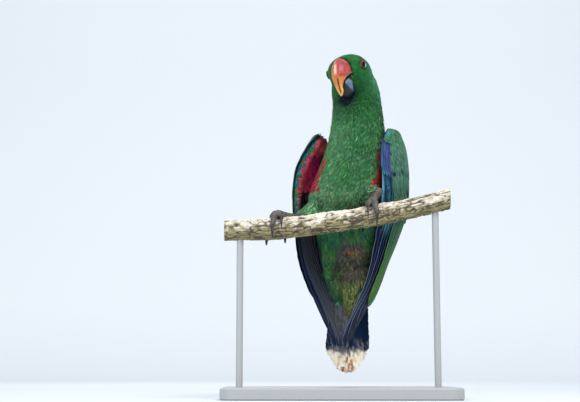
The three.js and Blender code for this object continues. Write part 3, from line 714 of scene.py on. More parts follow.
def scatter(mesh, spacing, seed):
    """Roots spread over a mesh, one for each small cell; cells of a few sizes fade into each other."""
    steps = np.array([0.8, 1.05, 1.4, 1.8])
    local = np.random.default_rng(seed)
    mesh.calc_loop_triangles()
    corners = np.empty(len(mesh.loop_triangles) * 3, dtype=np.int32)
    mesh.loop_triangles.foreach_get("vertices", corners)
    points, _ = mesh_arrays(mesh)
    a, b, c = (points[corners.reshape(-1, 3)[:, i]] for i in range(3))
    normal = np.cross(b - a, c - a)
    area = np.linalg.norm(normal, axis=1) / 2
    count = int(area.sum() * 12)
    pick = local.choice(len(area), count, p=area / area.sum())
    r1, r2 = np.sqrt(local.random(count)), local.random(count)
    place = a[pick] * (1 - r1)[:, None] + b[pick] * (r1 * (1 - r2))[:, None] + c[pick] * (r1 * r2)[:, None]
    level = np.interp(spacing(place), steps, np.arange(len(steps)))
    kept = []
    for k, size in enumerate(steps):
        cell = np.floor(place / size + 0.37 * k).astype(np.int64)
        key = (cell[:, 0] * 73856093) ^ (cell[:, 1] * 19349663) ^ (cell[:, 2] * 83492791)
        _, first = np.unique(key, return_index=True)
        share = np.clip(1 - np.abs(level[first] - k), 0, 1)
        kept.append(first[local.random(len(first)) < share])
    kept = np.concatenate(kept)
    return place[kept], unit(normal[pick[kept]])


def scatter_on(points, faces, spacing, seed):
    """Roots and normals over a shape of its own, and the tree to search it by."""
    mesh = triangle_mesh("form", points, faces)
    roots, normals = scatter(mesh, lambda place: np.full(len(place), spacing), seed)
    tree = skin_tree(mesh)
    bpy.data.meshes.remove(mesh)
    return roots, normals, tree


def tuft_template():
    """A contour feather: a flat outline with three soft points and a raised middle."""
    outline = [(0, 0.3), (0, -0.3), (0.45, -1), (0.86, -0.8), (0.7, -0.3), (1, 0.02), (0.72, 0.3),
               (0.9, 0.75), (0.45, 1)]
    ridge = (0.45, 0.0)
    n = len(outline)
    faces = [(i, (i + 1) % n, n) for i in range(n)]
    under = [(0, 8, 1), (1, 8, 2), (2, 8, 4), (2, 4, 3), (4, 8, 6), (4, 6, 5), (6, 8, 7)]
    lift = np.zeros(n + 1)
    lift[n] = 1
    return np.array(outline + [ridge]), lift, np.array(faces + under)


def grow_coat(batch, skin, roots, normals, flow, length, width, rise, colours, chart, loose=0):
    """Feathers from their roots along the flow, hugging the skin, and free below the vent."""
    template, lift, faces = tuft_template()
    n = len(roots)
    flow = unit(flow - (flow * normals).sum(axis=1, keepdims=True) * normals)
    turn = rng.normal(0, 0.15, n)[:, None]
    flow = unit(flow * np.cos(turn) + np.cross(normals, flow) * np.sin(turn))
    length = (length * rng.uniform(0.75, 1.25, n))[:, None]
    width = (width * rng.uniform(0.75, 1.25, n))[:, None, None]
    rise = (rise * rng.uniform(0.7, 1.3, n))[:, None]
    middle, middle_normal = nearest(skin, roots + flow * length * 0.5)
    ahead = unit(middle - roots)
    end, end_normal = nearest(skin, middle + ahead * length * 0.5)
    free = np.maximum(smooth(150, 134, roots[:, 2]), loose)[:, None]
    end = mix(end, middle + unit(ahead + np.array([0, 0.2, -0.6])) * length * 0.55, free)
    middle = middle + middle_normal * rise * 0.62
    end = end + end_normal * rise
    start = roots - normals * 0.3
    s, w = template[:, 0][None, :, None], template[:, 1][None, :, None]
    curve = ((1 - s) * (1 - 2 * s) * start[:, None] + 4 * s * (1 - s) * middle[:, None]
             + s * (2 * s - 1) * end[:, None])
    up = unit((1 - s) * normals[:, None] + s * end_normal[:, None])
    across = unit(np.cross(up, np.broadcast_to(unit(end - start)[:, None], up.shape)))
    points = curve + across * w * width / 2 + up * (lift[None, :, None] * 0.2 - np.abs(w) * 0.1)
    # Painted shade: each feather darker at its root, under the feathers over it, and lighter at its tip
    shade = mix(0.48, 1.16, s)
    patchy = 0.16 * noise(roots, 5, 61)[:, None, None]
    tone = np.exp(rng.normal(0, 0.15, (n, 1, 1)) + patchy) * np.ones((1, 1, 3))
    tone[:, :, 0] *= np.exp(rng.normal(0, 0.2, (n, 1)))
    tone[:, :, 2] *= np.exp(rng.normal(0, 0.15, (n, 1)))
    patch = chart[:, None, :] + np.stack([template[:, 1] * 0.0015, (template[:, 0] - 0.5) * 0.003], axis=1)
    index = faces[None] + (np.arange(n) * len(template))[:, None, None]
    batch.add(points, index, colours[:, None, :] * shade * np.clip(tone, 0.4, 1.8), patch)


def body_flow(points):
    """Which way the feathers lie: back from the bill over the head, then down the body."""
    x, y, z = points.T
    middle_x, middle_y = spine_at(z)
    front = y < middle_y
    down = np.tile(np.array([0, 0.12, -1.0]), (len(points), 1))
    down[:, 0] += 0.009 * (x - middle_x) * smooth(150, 240, z) * smooth(320, 280, z)
    down[:, 0] -= 0.42 * smooth(306, 275, z) * smooth(176, 205, z) * front
    down[:, 0] += 0.3 * noise(points, 26, 19) * smooth(310, 290, z)
    down[:, 0] += smooth(26, 12, np.hypot(x - VENT[0], z - VENT[2])) * front * (x - VENT[0]) / 9
    flow = unit(mix(down, unit(points - BILL_ROOT), smooth(300, 322, z)[:, None]))
    for hip, ankle in THIGHS:
        share, gap = along_line(points, hip, ankle)
        pull = (smooth(19, 12, gap) * smooth(0.25, 0.6, share))[:, None]
        flow = unit(mix(flow, unit(ankle - hip), pull))
    return flow


def spacing_body(points):
    step = np.interp(points[:, 2], [140, 170, 275, 318], [1.7, 1.45, 1.4, 1.1])
    return mix(step, 0.8, face_share(points))


def coat_body(skin):
    """The coat in a few pieces, finest on the face and clear of the eyes and bill."""
    tree = skin_tree(skin.data)
    roots, normals = scatter(skin.data, spacing_body, 21)
    clear = outside(node_tree(["bill_upper", "bill_lower"]), roots)
    for centre in EYES.values():
        clear &= np.linalg.norm(roots - centre, axis=1) > EYE_RADIUS + 0.6
    roots, normals = roots[clear], normals[clear]
    order = np.argsort(roots[:, 2])
    roots, normals = roots[order], normals[order]
    flow = body_flow(roots)
    face = face_share(roots)
    heights = [132, 165, 200, 275, 318]
    length = mix(np.interp(roots[:, 2], heights, [19, 15, 13, 11.5, 6.5]), 2.8, face)
    width = mix(np.interp(roots[:, 2], heights, [2.6, 1.8, 1.5, 1.4, 1.3]), 0.85, face)
    rise = body_depth(roots) * mix(1.0, 0.8, face)
    colours = plumage_colour(roots + flow * length[:, None] * 0.6)
    values = (roots, normals, flow, length, width, rise, colours, skin_chart(roots))
    pieces = math.ceil(len(roots) / 11500)
    for index, part in enumerate(np.array_split(np.arange(len(roots)), pieces)):
        batch = Batch()
        grow_coat(batch, tree, *(value[part] for value in values))
        batch.build(f"coat_{index + 1}", COAT, "body_plumage")


# Vanes
class Atlas:
    """Places for the bake: equal cells, row after row."""

    def __init__(self, count):
        self.side, self.used = math.ceil(math.sqrt(count)), 0

    def cell(self):
        corner = np.array([self.used % self.side, self.used // self.side])
        self.used += 1
        return (corner + 0.04) / self.side, (corner + 0.96) / self.side


def vane_outline(root, swell, shoulder, power, least):
    """A vane's half width from its root to its rounded tip."""
    def outline(s):
        tip = np.sqrt(np.clip(1 - np.clip((s - shoulder) / (1 - shoulder), 0, 1) ** power, 0, 1))
        return mix(root, 1, smooth(0, swell, s)) * np.maximum(tip, least)
    return outline


FLIGHT_OUTLINE = vane_outline(0.4, 0.3, 0.78, 2.6, 0.04)
COVERT_OUTLINE = vane_outline(0.5, 0.35, 0.62, 2.2, 0.05)

# Columns across a vane from its outer edge, with close ones at the edge and the shaft
COLUMNS = np.array([-1, -0.94, -0.87, -0.74, -0.6, -0.36, -0.3, -0.24, 0.2, 0.62, 0.92, 1.0])
SHORT_COLUMNS = np.array([-1, -0.88, -0.4, 0.1, 0.6, 1.0])


def shaft_line(w):
    return np.exp(-((w + 0.3) / 0.05) ** 2)


def add_plate(batch, grid, normals, thick, colours, cell, face=1):
    """A thin closed vane from a grid of points, its normals and its colours on top and below."""
    rows, columns = grid.shape[:2]
    half = normals * thick[..., None] / 2
    s, w = grids(np.linspace(0, 1, rows), np.linspace(0, 1, columns))
    low, high = (np.array(corner) for corner in cell)
    patches = [low + (high - low) * np.stack([w * 0.5 + shift, s], -1) for shift in (0, 0.5)]
    vane = np.stack([np.abs(w - 0.35), s * rows / columns * 2], -1)
    faces = plate_faces(rows, columns)[:, ::face]
    batch.add([grid + half, grid - half], faces, colours, patches, [vane, vane])


# Wings
def wing_point(wing, u, v):
    """A place on the wing: u from 0 at its top to 1 at its tip, v from its leading to its trailing edge."""
    u, v = np.broadcast_arrays(np.asarray(u, float), np.asarray(v, float))
    row = row_at(wing["rows"], u)
    lead, outer, trail = (2 * v - 1) * (v - 1), 4 * v * (1 - v), v * (2 * v - 1)
    x = row[..., 1] * lead + row[..., 3] * outer + row[..., 5] * trail
    y = row[..., 2] * lead + row[..., 4] * outer + row[..., 6] * trail
    return np.stack([x, y, row[..., 0]], axis=-1)


def wing_out(wing, u, v):
    step = 0.01
    down = wing_point(wing, np.minimum(u + step, 1), v) - wing_point(wing, np.maximum(u - step, 0), v)
    back = wing_point(wing, u, v + step) - wing_point(wing, u, v - step)
    return unit(np.cross(down, back)) * wing["side"]


def chord(wing, u):
    line = wing_point(wing, np.asarray(u)[..., None], np.linspace(0, 1, 7))
    return np.linalg.norm(np.diff(line, axis=-2), axis=-1).sum(axis=-1)


def add_wing_feather(batch, atlas, wing, f):
    """One vane on the wing, each over its neighbour and its tier over the tier below."""
    rows = f["rows"]
    s = np.linspace(0, 1, rows)
    u, v = mix(f["start"][0], f["end"][0], s), mix(f["start"][1], f["end"][1], s)
    bow = f.get("bow", 0) * np.sin(np.pi * s)
    span = chord(wing, u)
    lean = math.sin(math.radians(f["tilt"]))
    crowd = np.maximum(0, f["layer"] - span * mix(f["pitch"][0], f["pitch"][1], s) * lean)
    height = mix(f["rise"][0], f["rise"][1], np.minimum(1, s * 2)) + f["order"] * crowd * np.minimum(1, s * 5)
    ragged = 1 + 0.035 * rng.normal(size=(rows, 2)) * smooth(0.1, 0.3, s)[:, None]
    half = f["outline"](s)[:, None] * f["width"] / 2
    w = COLUMNS if f["fine"] else SHORT_COLUMNS
    reach = np.where(w < 0, ragged[:, :1], ragged[:, 1:]) * half * w
    vv = v[:, None] + (reach + bow[:, None]) / span[:, None]
    uu = np.broadcast_to(u[:, None], vv.shape)
    out = wing_out(wing, uu, vv) * f["face"]
    shaft = 0.16 * shaft_line(w) * (1 - s[:, None] * 0.7)
    level = height[:, None] - reach * lean - 0.05 * half * w ** 2 + shaft
    grid = wing_point(wing, uu, vv) + out * level[..., None]
    s, w = grids(s, w)
    colours = paint_wing(wing, f, s, w, grid)
    add_plate(batch, grid, out, mix(0.28, 0.1, np.abs(w)), colours, atlas.cell(), f["face"] * -wing["side"])


def tier(count, roots, tips, root_span, tip_span, **rest):
    """The feathers of one tier: shares down the wing at their roots and tips, and spans across it."""
    pitch = [(span[1] - span[0]) / (count - 1) for span in (root_span, tip_span)]
    made = []
    for k in range(count):
        share = k / (count - 1)
        start = (np.interp(share, np.linspace(0, 1, len(roots)), roots), mix(*root_span, share))
        end = (np.interp(share, np.linspace(0, 1, len(tips)), tips), mix(*tip_span, share))
        made.append({"start": start, "end": end, "order": k, "pitch": pitch, "share": share, "face": 1,
                     "fine": False, "rows": 12, "outline": COVERT_OUTLINE, "small": False, **rest})
    return made


def small_rows(name, roots, length, count, low, high, **rest):
    """Staggered rows of small feathers, each over the row below it."""
    rows = {}
    for row, root in enumerate(roots):
        shift = (high - low) / count * 0.5 * (row % 2)
        span = (low + shift, high + shift)
        tips = (span[0] - 0.012, span[1] + 0.01)
        rows[f"{name}_{row}"] = tier(count, [root], [root + length], span, tips, rows=9, small=True, **rest)
    return rows


def wing_tiers():
    flight = {"fine": True, "rows": 30, "outline": FLIGHT_OUTLINE, "layer": 0.4}
    coverts = {"layer": 0.36, "tilt": 6}
    under = {"face": -1, "layer": 0.3, "tilt": 4}
    primary_tips = [0.91, 0.965, 0.99, 0.985, 0.96, 0.93, 0.9, 0.87, 0.85, 0.83]
    secondary_tips = [0.79, 0.81, 0.8, 0.78, 0.75, 0.71, 0.66]
    return {
        "primary": tier(10, [0.17, 0.22], primary_tips, (0.04, 0.28), (0.09, 0.7), width=13,
                        rise=(-1.2, -3.0), tilt=3, bow=-0.6, **flight),
        "secondary": tier(12, [0.22], secondary_tips, (0.17, 0.88), (0.3, 0.95), width=15, rise=(0.4, 2.2),
                          tilt=6, **flight),
        "greater": tier(14, [0.2], [0.43, 0.42], (0.15, 0.88), (0.14, 0.92), width=10, rise=(1.6, 3.1),
                        fine=True, **coverts),
        "median": tier(16, [0.165], [0.33, 0.31], (0.13, 0.88), (0.115, 0.92), width=8.6, rise=(2, 3.7),
                       **coverts),
        "primary_covert": tier(5, [0.02, 0.08], [0.245, 0.265], (0.015, 0.115), (0.01, 0.105), width=6.4,
                               rise=(1.2, 2.6), tilt=3, fine=True, layer=0.42),
        **small_rows("lesser", np.arange(0.165, 0.03, -0.018), 0.078, 16, 0.12, 0.88, width=7,
                     rise=(2.1, 4.0), **coverts),
        **small_rows("wrist", np.arange(0.045, 0.012, -0.0135), 0.06, 17, 0.02, 0.9, width=6.4,
                     rise=(1.8, 4.0), **coverts),
        "under_greater": tier(11, [0.2], [0.43, 0.4], (0.1, 0.86), (0.09, 0.9), width=13,
                              rise=(1.0, 2.4), **under),
        "under_median": tier(12, [0.17], [0.35, 0.34], (0.1, 0.86), (0.1, 0.88), width=11,
                             rise=(1.4, 3), **under),
        **small_rows("under_lesser", np.arange(0.24, 0.015, -0.02), 0.09, 16, 0.08, 0.86, width=7.5,
                     rise=(1.6, 3.6), **under)}


def paint_primary(f, s, w):
    high, low = smooth(0.4, 0.25, s), smooth(0.3, 0.42, s)
    return layered(
        plain((0.001, 0.006, 0.03), s),
        ((0.1, 0.46, 0.62), 0.85 * high * smooth(-0.4, -0.8, w)),
        ((0.25, 0.6, 0.66), 0.85 * high * smooth(-0.88, -0.95, w)),
        ((0.24, 0.3, 0.4), (0.9 - 0.6 * (f["order"] % 2)) * smooth(-0.92, -0.96, w) * low),
        ((0.008, 0.01, 0.02), smooth(-0.3, -0.1, w)),
        ((0.035, 0.04, 0.055), 0.7 * smooth(0.84, 0.97, s) * (1 - smooth(-0.6, -0.8, w))))


def paint_secondary(f, s, w, streak):
    dark_band = np.exp(-((w + 0.78) / 0.08) ** 2)
    return layered(
        plain(SHEEN_GREEN, s) * f["tone"],
        (QUILL_GREEN, 0.75 * smooth(0.3, 0.75, s)),
        ((0.01, 0.05, 0.12), 0.75 * smooth(0.14, 0.0, f["share"]) * smooth(-0.7, -0.5, w)),
        (YELLOW_GREEN, (0.8 - 0.35 * streak) * smooth(-0.88, -0.95, w)),
        ((0.003, 0.02, 0.02), 0.9 * dark_band * smooth(0.3, 0.5, s)),
        (NAVY, smooth(-0.2, 0.1, w) * smooth(0.9, 0.5, f["share"])),
        (GREEN_DARK, 0.6 * smooth(0.6, 1.0, w)))


def paint_primary_covert(f, s, w, streak):
    """Violet, bluer in front, with cyan tips and painted shade in the gaps along the edges."""
    colour = layered(
        plain(VIOLET, s) * f["tone"] * 0.75,
        ((0.035, 0.1, 0.22), 0.8 * smooth(0.5, 0, f["share"])),
        (CYAN, 0.6 * smooth(0.9, 0.98, s) * smooth(0.7, 0.2, f["share"])),
        # Painted shade in the gaps between neighbouring feathers, along both edges
        ((0.015, 0.015, 0.04), 0.8 * smooth(-0.86, -0.95, w) + 0.6 * smooth(0.3, 1, w)))
    return colour * (1 + 0.45 * streak)[..., None]


def paint_covert(f, s, w, streak):
    """Green under a painted grey-green sheen, with a pale rim, a painted highlight, inside a dark line of
    painted shade; a few feathers show the painted shade of a gap at the tip.
    """
    u, v = f["start"]
    rim = np.maximum(s, np.abs(w))
    # Painted shade in a line just inside the feather's rim
    line = smooth(0.98, 0.86, rim) * smooth(0.35, 0.7, s) * smooth(0.6, 0.8, rim)
    # Painted shade of a gap at the tip of a few feathers
    gap = f["seed"] % 9 == 0 and v < 0.6
    colour = layered(
        plain(WING_GREEN, s) * f["tone"],
        # Painted sheen: grey-green over the coverts, more below the top rows
        (COVERT_SHEEN, 0.3 + 0.5 * smooth(0.0, 0.12, u)),
        ((0.008, 0.04, 0.03), 0.55 * line),
        # Painted highlight on the rim
        ((0.18, 0.4, 0.27), 0.4 * smooth(0.9, 1, rim) * (1 + streak)),
        ((0.03, 0.25, 0.38), 0.6 * smooth(0.12, 0.04, v) * smooth(0.035, 0.012, u)),
        (GREEN_DARK, 0.5 * smooth(0.5, 1, w) + 0.5 * smooth(0.3, 0, s)),
        ((0.002, 0.01, 0.012), 0.9 * gap * smooth(0.78, 0.92, s)))
    return colour * (1 + 0.3 * streak)[..., None]


def paint_lining(wing, f, s, w, streak):
    """The lining: scarlet near the leading edge, deep crimson behind, dark further down."""
    if f["kind"] == "under_greater":
        return layered(plain(SLATE, s) * 0.45, (CHARCOAL, 0.5 * smooth(0.4, 1, w)))
    u, v = f["start"]
    deep = smooth(0.55, 0.95, v)
    front = smooth(0.4, 0.26, v + 0.06 * math.sin(37 * u))
    bright = min(front + smooth(0.06, 0.02, u) + 0.5 * smooth(0.1, 0.2, u), 1)
    red = mix(np.array(CRIMSON) * mix(1.2, 0.3, deep), np.array(SCARLET), bright * 0.9) * f["tone"]
    if wing["side"] > 0 and v < 0.25 and u < 0.12:
        red = np.array((0.03, 0.12, 0.25))
    end = smooth(0.3, 0.6, s) if f["kind"] == "under_median" else smooth(0.222, 0.238, u)
    dull = f["seed"] % 7 == 0
    colour = layered(
        plain(red, s),
        # Painted shade: each lining feather dark at its root, under the row above
        (red * 0.2, smooth(0.5, 0.0, s)),
        ((0.022, 0.018, 0.024), 0.5 * dull * (1 - bright) + 0.93 * end))
    return colour * (1 + 0.7 * streak)[..., None]


def paint_underside(f, s, w, streak):
    """The dark lower face of a vane, with its shaft and a thin pale edge."""
    edge = smooth(0.86, 0.92, w) * smooth(0.99, 0.95, w)
    green = f["kind"] == "primary" and f["share"] == 0
    return layered(
        plain((0.001, 0.009, 0.036), s) * f["tone"] * (1 + 0.5 * streak)[..., None],
        ((0.004, 0.006, 0.014), 0.8 * smooth(0.15, 0.5, f["share"]) * (1 - 0.6 * smooth(0.6, 0.9, s))),
        (SLATE, 0.35 * smooth(0.78, 1, s) * smooth(-0.2, 0.6, w)),
        ((0.15, 0.16, 0.19), 0.6 * (edge + shaft_line(w))),
        (YELLOW_GREEN, 0.6 * green * smooth(-0.86, -0.94, w) * smooth(0.6, 0.3, s)))


def paint_wing(wing, f, s, w, grid):
    """A wing feather's colours above and below, by its tier and place."""
    streak = noise(grid * (1, 1, 0.1), 1.5, 4)
    below = paint_underside(f, s, w, streak)
    if f["kind"] == "primary":
        top = paint_primary(f, s, w)
    elif f["kind"] == "secondary":
        top = paint_secondary(f, s, w, streak)
    elif f["face"] < 0:
        top = paint_lining(wing, f, s, w, streak)
    else:
        top = (paint_primary_covert if f["kind"] == "primary_covert" else paint_covert)(f, s, w, streak)
        below = layered(plain(TEAL, s), (WING_GREEN, 0.5 + 0.5 * math.sin(f["seed"]))) * f["tone"]
    # Painted shade: each upper face darker at its root, under the feathers over it, and lighter at its tip
    return top * mix(0.82, 1.08, s)[..., None], below


def edge_roll(wing):
    """A closed roll of flesh along the wing's leading edge, on its lower side."""
    rows, columns = 60, 22
    u, v, radius = row_at(EDGE_PATHS[wing["name"]], np.linspace(0, 1, rows)).T
    out = wing_out(wing, u, v)
    middle = wing_point(wing, u, v) - out * (radius * 0.75)[:, None]
    along = unit(np.gradient(middle, axis=0))
    low = unit(-out + (out * along).sum(axis=1, keepdims=True) * along)
    side = np.cross(along, low)
    share, turn = grids(np.linspace(0, 0.95, rows), np.linspace(0, FULL_TURN, columns, endpoint=False))
    round_it = low[:, None] * np.cos(turn)[..., None] + side[:, None] * np.sin(turn)[..., None]
    points = middle[:, None] + radius[:, None, None] * round_it
    chart = np.stack([turn / 6.4, share], -1)
    return points.reshape(-1, 3), tube_faces(rows, columns), chart.reshape(-1, 2), middle


def make_wing_edge(wing):
    """Small scale-like feathers over the leading edge: teal, green and blue with scarlet inside."""
    right = wing["side"] < 0
    points, faces, chart, middle = edge_roll(wing)
    batch = Batch()
    batch.add(points, faces, plain(GREEN_DARK, points[:, 0]), chart)
    roots, normals, tree = scatter_on(points, faces, 1.5, 60 + wing["side"])
    place = np.linalg.norm(roots[:, None] - middle[None, ::3], axis=2).argmin(axis=1) * 3 / len(middle)
    nearest_point = np.linalg.norm(roots[:, None] - points[None], axis=2).argmin(axis=1)
    pick = noise(roots, 5, 90)
    inward = normals[:, 0] + 0.4 * noise(roots, 4, 91)
    red = np.maximum(smooth(-0.45, -0.2, inward) * smooth(0.88, 0.8, place), smooth(0.3, 0.22, place))
    colours = layered(
        plain(WING_GREEN, place),
        ((0.045, 0.24, 0.25), smooth(-0.15, 0.0, pick)),
        ((0.05, 0.22, 0.36), 0.9 * smooth(0.4, 0.5, pick)),
        ((0.045, 0.15, 0.32), 0.9 * (not right)),
        (NAVY, 0.8 * smooth(0.8, 0.95, place)),
        (EDGE_RED, red * right))
    flow = np.tile(np.array([-0.25 * wing["side"], 0.0, -1.0]), (len(roots), 1))
    size = np.interp(place, [0, 0.3, 0.6, 1], [3.5, 6.5, 7, 5]) * (1 if right else 0.7)
    grow_coat(batch, tree, roots, normals, flow, size, size * 0.45, size * 0.1, colours, chart[nearest_point])
    batch.build(f"wing_{wing['name']}_edge", COAT, "wing_plumage")


def wing_core(wing):
    """The arm and hand under the feathers."""
    rows, columns = 12, 14
    u, v = grids(np.linspace(0.024, 0.25, rows), np.linspace(0.015, 0.93, columns))
    full, share = grids(np.linspace(0.16, 0.97, rows), np.linspace(0, 1, columns))
    thick = 2 * (0.25 + 2.0 * np.sin(np.pi * share) ** 0.9) * np.sin(np.pi * full) ** 0.5
    under = layered(plain(CRIMSON, u) * 0.4, ((0.03, 0.08, 0.18), smooth(0.2, 0.1, v)))
    batch = Batch()
    add_plate(batch, wing_point(wing, u, v), wing_out(wing, u, v), thick, (plain(GREEN_DARK, u), under),
              ((0, 0), (1, 1)), -wing["side"])
    batch.build(f"wing_{wing['name']}_arm", SKIN, "wing_plumage", [f"wing_{wing['name']}"])


def make_wing(wing):
    wing_core(wing)
    make_wing_edge(wing)
    groups = {"flight": [], "coverts": [], "lining": []}
    local = np.random.default_rng(40 + wing["side"])
    for kind, feathers in wing_tiers().items():
        for f in feathers:
            f.update(kind=kind, tone=local.uniform(0.75, 1.25), seed=int(local.integers(1, 9999)))
            if f["small"]:
                f["end"] = tuple(np.array(f["end"]) + local.uniform(-0.012, 0.012, 2))
        upper = "flight" if kind in ("primary", "secondary") else "coverts"
        groups["lining" if kind.startswith("under") else upper] += feathers
    for group, feathers in groups.items():
        batch, atlas = Batch(), Atlas(len(feathers))
        for f in feathers:
            add_wing_feather(batch, atlas, wing, f)
        batch.build(f"wing_{wing['name']}_{group}", VANE, "wing_plumage")


# Tail
def add_straight_feather(batch, atlas, root, tip, out, width, colours, outline, rows, bend=0.0, fray=0.0):
    """A vane from root to tip whose upper face looks along out; bend curves it, fray breaks its tip."""
    root, tip, out = (np.array(p, float) for p in (root, tip, out))
    along = unit(tip - root)
    across = unit(np.cross(along, out))
    normal = unit(np.cross(across, along))
    s, w = np.linspace(0, 1, rows)[:, None], COLUMNS
    ragged = 0.03 * rng.normal(size=(rows, 2))
    ragged = ragged + fray * rng.uniform(-1, 0.4, (rows, 2)) * smooth(0.86, 0.97, s)
    half = outline(s) * width / 2 * (1 + np.where(w < 0, ragged[:, :1], ragged[:, 1:]))
    camber = -0.08 * half * w ** 2 + 0.14 * shaft_line(w)
    rise = bend * np.linalg.norm(tip - root) * np.sin(np.pi * s) * 0.5
    grid = (root + (tip - root) * s[..., None] + across * (half * w)[..., None]
            + normal * (camber + rise)[..., None])
    s, w = grids(s[:, 0], w)
    add_plate(batch, grid, np.broadcast_to(normal, grid.shape), mix(0.3, 0.1, np.abs(w)), colours(s, w, grid),
              atlas.cell())


def rectrix_colours(tone):
    def paint_rectrix(s, w, grid):
        """Green above; below a dark grey underside, painted navy as shade where the wings shade it and paler
        grey as painted light in the middle and towards the end, with a worn, stained cream end.
        """
        x, z = grid[..., 0], grid[..., 2]
        ragged = 3 * noise(grid * (1, 1, 0.35), 4, 9)
        pale = smooth(48, 43.5, z + ragged - 0.22 * np.abs(x - 11))
        # Painted light: where the grey underside is lit in the middle
        inner = smooth(16, 9, np.abs(x - 4)) * smooth(58, 72, z)
        fray = smooth(0.2, 0.7, noise(grid * (1.6, 1, 0.12), 3, 12)) * smooth(66, 50, z)
        aside = np.abs(x - 10)
        stain = smooth(0.0, 0.5, noise(grid * (1.6, 1, 0.5), 5, 31)) * smooth(20, 7, aside + 0.45 * (z - 30))
        split = smooth(0.5, 0.8, noise(grid * (2, 1, 0.4), 4, 33)) * smooth(15, 5, aside)
        above = layered(plain(GREEN, s) * 0.8 * tone, (BLUE, 0.5 * smooth(-0.4, -0.9, w)),
                        (YELLOW_GREEN, 0.9 * pale))
        below = layered(
            # Painted shade: navy where the wings shade the underside
            plain((0.0, 0.016, 0.055), s) * tone,
            ((0.008, 0.009, 0.014), 0.35 * smooth(-0.3, 0.6, w)),
            # Painted light: the grey underside lit in the middle and towards the end
            ((0.15, 0.145, 0.16), 0.8 * inner * (1 + 0.5 * noise(grid * (1, 1, 0.08), 2, 3))),
            ((0.2, 0.185, 0.185), 0.85 * smooth(57, 47, z + ragged)),
            ((0.36, 0.33, 0.3), 0.6 * fray),
            (CREAM, pale),
            ((0.52, 0.18, 0.06), 0.92 * pale * stain),
            (BROWN, 0.75 * pale * split))
        return above, below
    return paint_rectrix


def make_tail():
    """Twelve tail feathers, the middle pair on top, spread and shorter towards the sides."""
    batch, atlas = Batch(), Atlas(12)
    local = np.random.default_rng(77)
    root_x, root_y, root_z = TAIL["root"]
    tip_x, tip_y, tip_z = TAIL["tip"]
    for k in range(12):
        share = (-1) ** k * (k // 2 + 0.4) / 6
        under = -0.9 * min(k, 4) - 0.45 * max(0, k - 4)
        root = (root_x + share * TAIL["root_spread"], root_y + under * 0.6, root_z)
        end = tip_z + TAIL["round"] * abs(share) ** 2.4 + local.uniform(-1, 1)
        tip = (tip_x + share * TAIL["spread"], tip_y + under, end)
        add_straight_feather(batch, atlas, root, tip, (0, 1, 0.3), TAIL["width"],
                             rectrix_colours(local.uniform(0.8, 1.2)), FLIGHT_OUTLINE, rows=60, fray=0.5)
    batch.build("tail_feathers", VANE, "tail_plumage", ["tail"])


def lobe_shape(lobe):
    """A closed drop shape round a lobe's middle line, fullest above its middle."""
    rows, columns = 30, 28
    top, tip = np.array(lobe["top"], float), np.array(lobe["tip"], float)
    t, turn = grids(np.linspace(0, 1, rows), np.linspace(0, FULL_TURN, columns, endpoint=False))
    full = np.sqrt(np.clip(1 - t ** 2.2, 0, 1)) * (0.7 + 0.3 * smooth(0, 0.3, t)) + 0.02
    offset = np.stack([lobe["half"] * np.cos(turn), lobe["depth"] * np.sin(turn), 0 * turn], -1)
    points = top + (tip - top) * t[..., None] + offset * full[..., None]
    chart = np.stack([turn / FULL_TURN, t], -1)
    return points.reshape(-1, 3), tube_faces(rows, columns)[:, ::-1], chart.reshape(-1, 2)


def add_lobe(batch, lobe, index):
    """One lobe: its dark core and the soft feathers that hang over it."""
    points, faces, chart = lobe_shape(lobe)
    corner, size = np.array([0.33 * index, 0]) + 0.01, (0.29, 0.9)
    batch.add(points, faces, plain(lobe["base"], points[:, 0]) * 0.3, corner + chart * size)
    roots, normals, tree = scatter_on(points, faces, 1.15, 50 + index)
    top, tip = np.array(lobe["top"], float), np.array(lobe["tip"], float)
    share = np.clip((top[2] - roots[:, 2]) / (top[2] - tip[2]), 0, 1)
    aside = (roots[:, 0] - mix(top[0], tip[0], share)) / lobe["half"]
    depth = (roots[:, 1] - mix(top[1], tip[1], share)) / lobe["depth"]
    full = np.ones(len(roots))
    flow = np.stack([0.35 * aside * (1 - 1.6 * share), 0.1 * full, -full], 1)
    mottle = noise(roots * (1.4, 1, 0.2), 4, 40 + index)
    light = 0.2 + 0.4 * mottle + 0.75 * smooth(0.45, 1, share) + 0.4 * smooth(0.5, 0.95, np.abs(aside))
    # Painted shade at the top of the two undertail lobes, under the body
    shade = 0.5 * smooth(0.4, 0.12, share + 0.1 * mottle) * (index < 2)
    colours = layered(plain(lobe["base"], share), (lobe["light"], np.clip(light, 0, 1)),
                      ((0.02, 0.045, 0.025), shade))
    place = np.stack([np.arctan2(depth, aside) / FULL_TURN % 1, share], 1)
    grow_coat(batch, tree, roots, normals, flow, 12.0 * full, lobe["tuft"] * full, 1.4 * full,
              vent_marks(colours, roots), corner + place * size, loose=0.8 * smooth(0.1, 0.3, share))


def uppertail_colours(tone):
    def paint_uppertail(s, w, grid):
        streak = noise(grid * (1, 1, 0.15), 1.2, 6)
        colour = layered(
            plain(GREEN, s) * tone * (1 + 0.45 * streak)[..., None],
            (GREEN_LIGHT, 0.75 * smooth(0.62, 1, np.maximum(np.abs(w) * 0.9, s * 0.95))),
            (GREEN_DARK, 0.8 * smooth(0.4, 0, s)))
        return colour, colour * 0.8
    return paint_uppertail


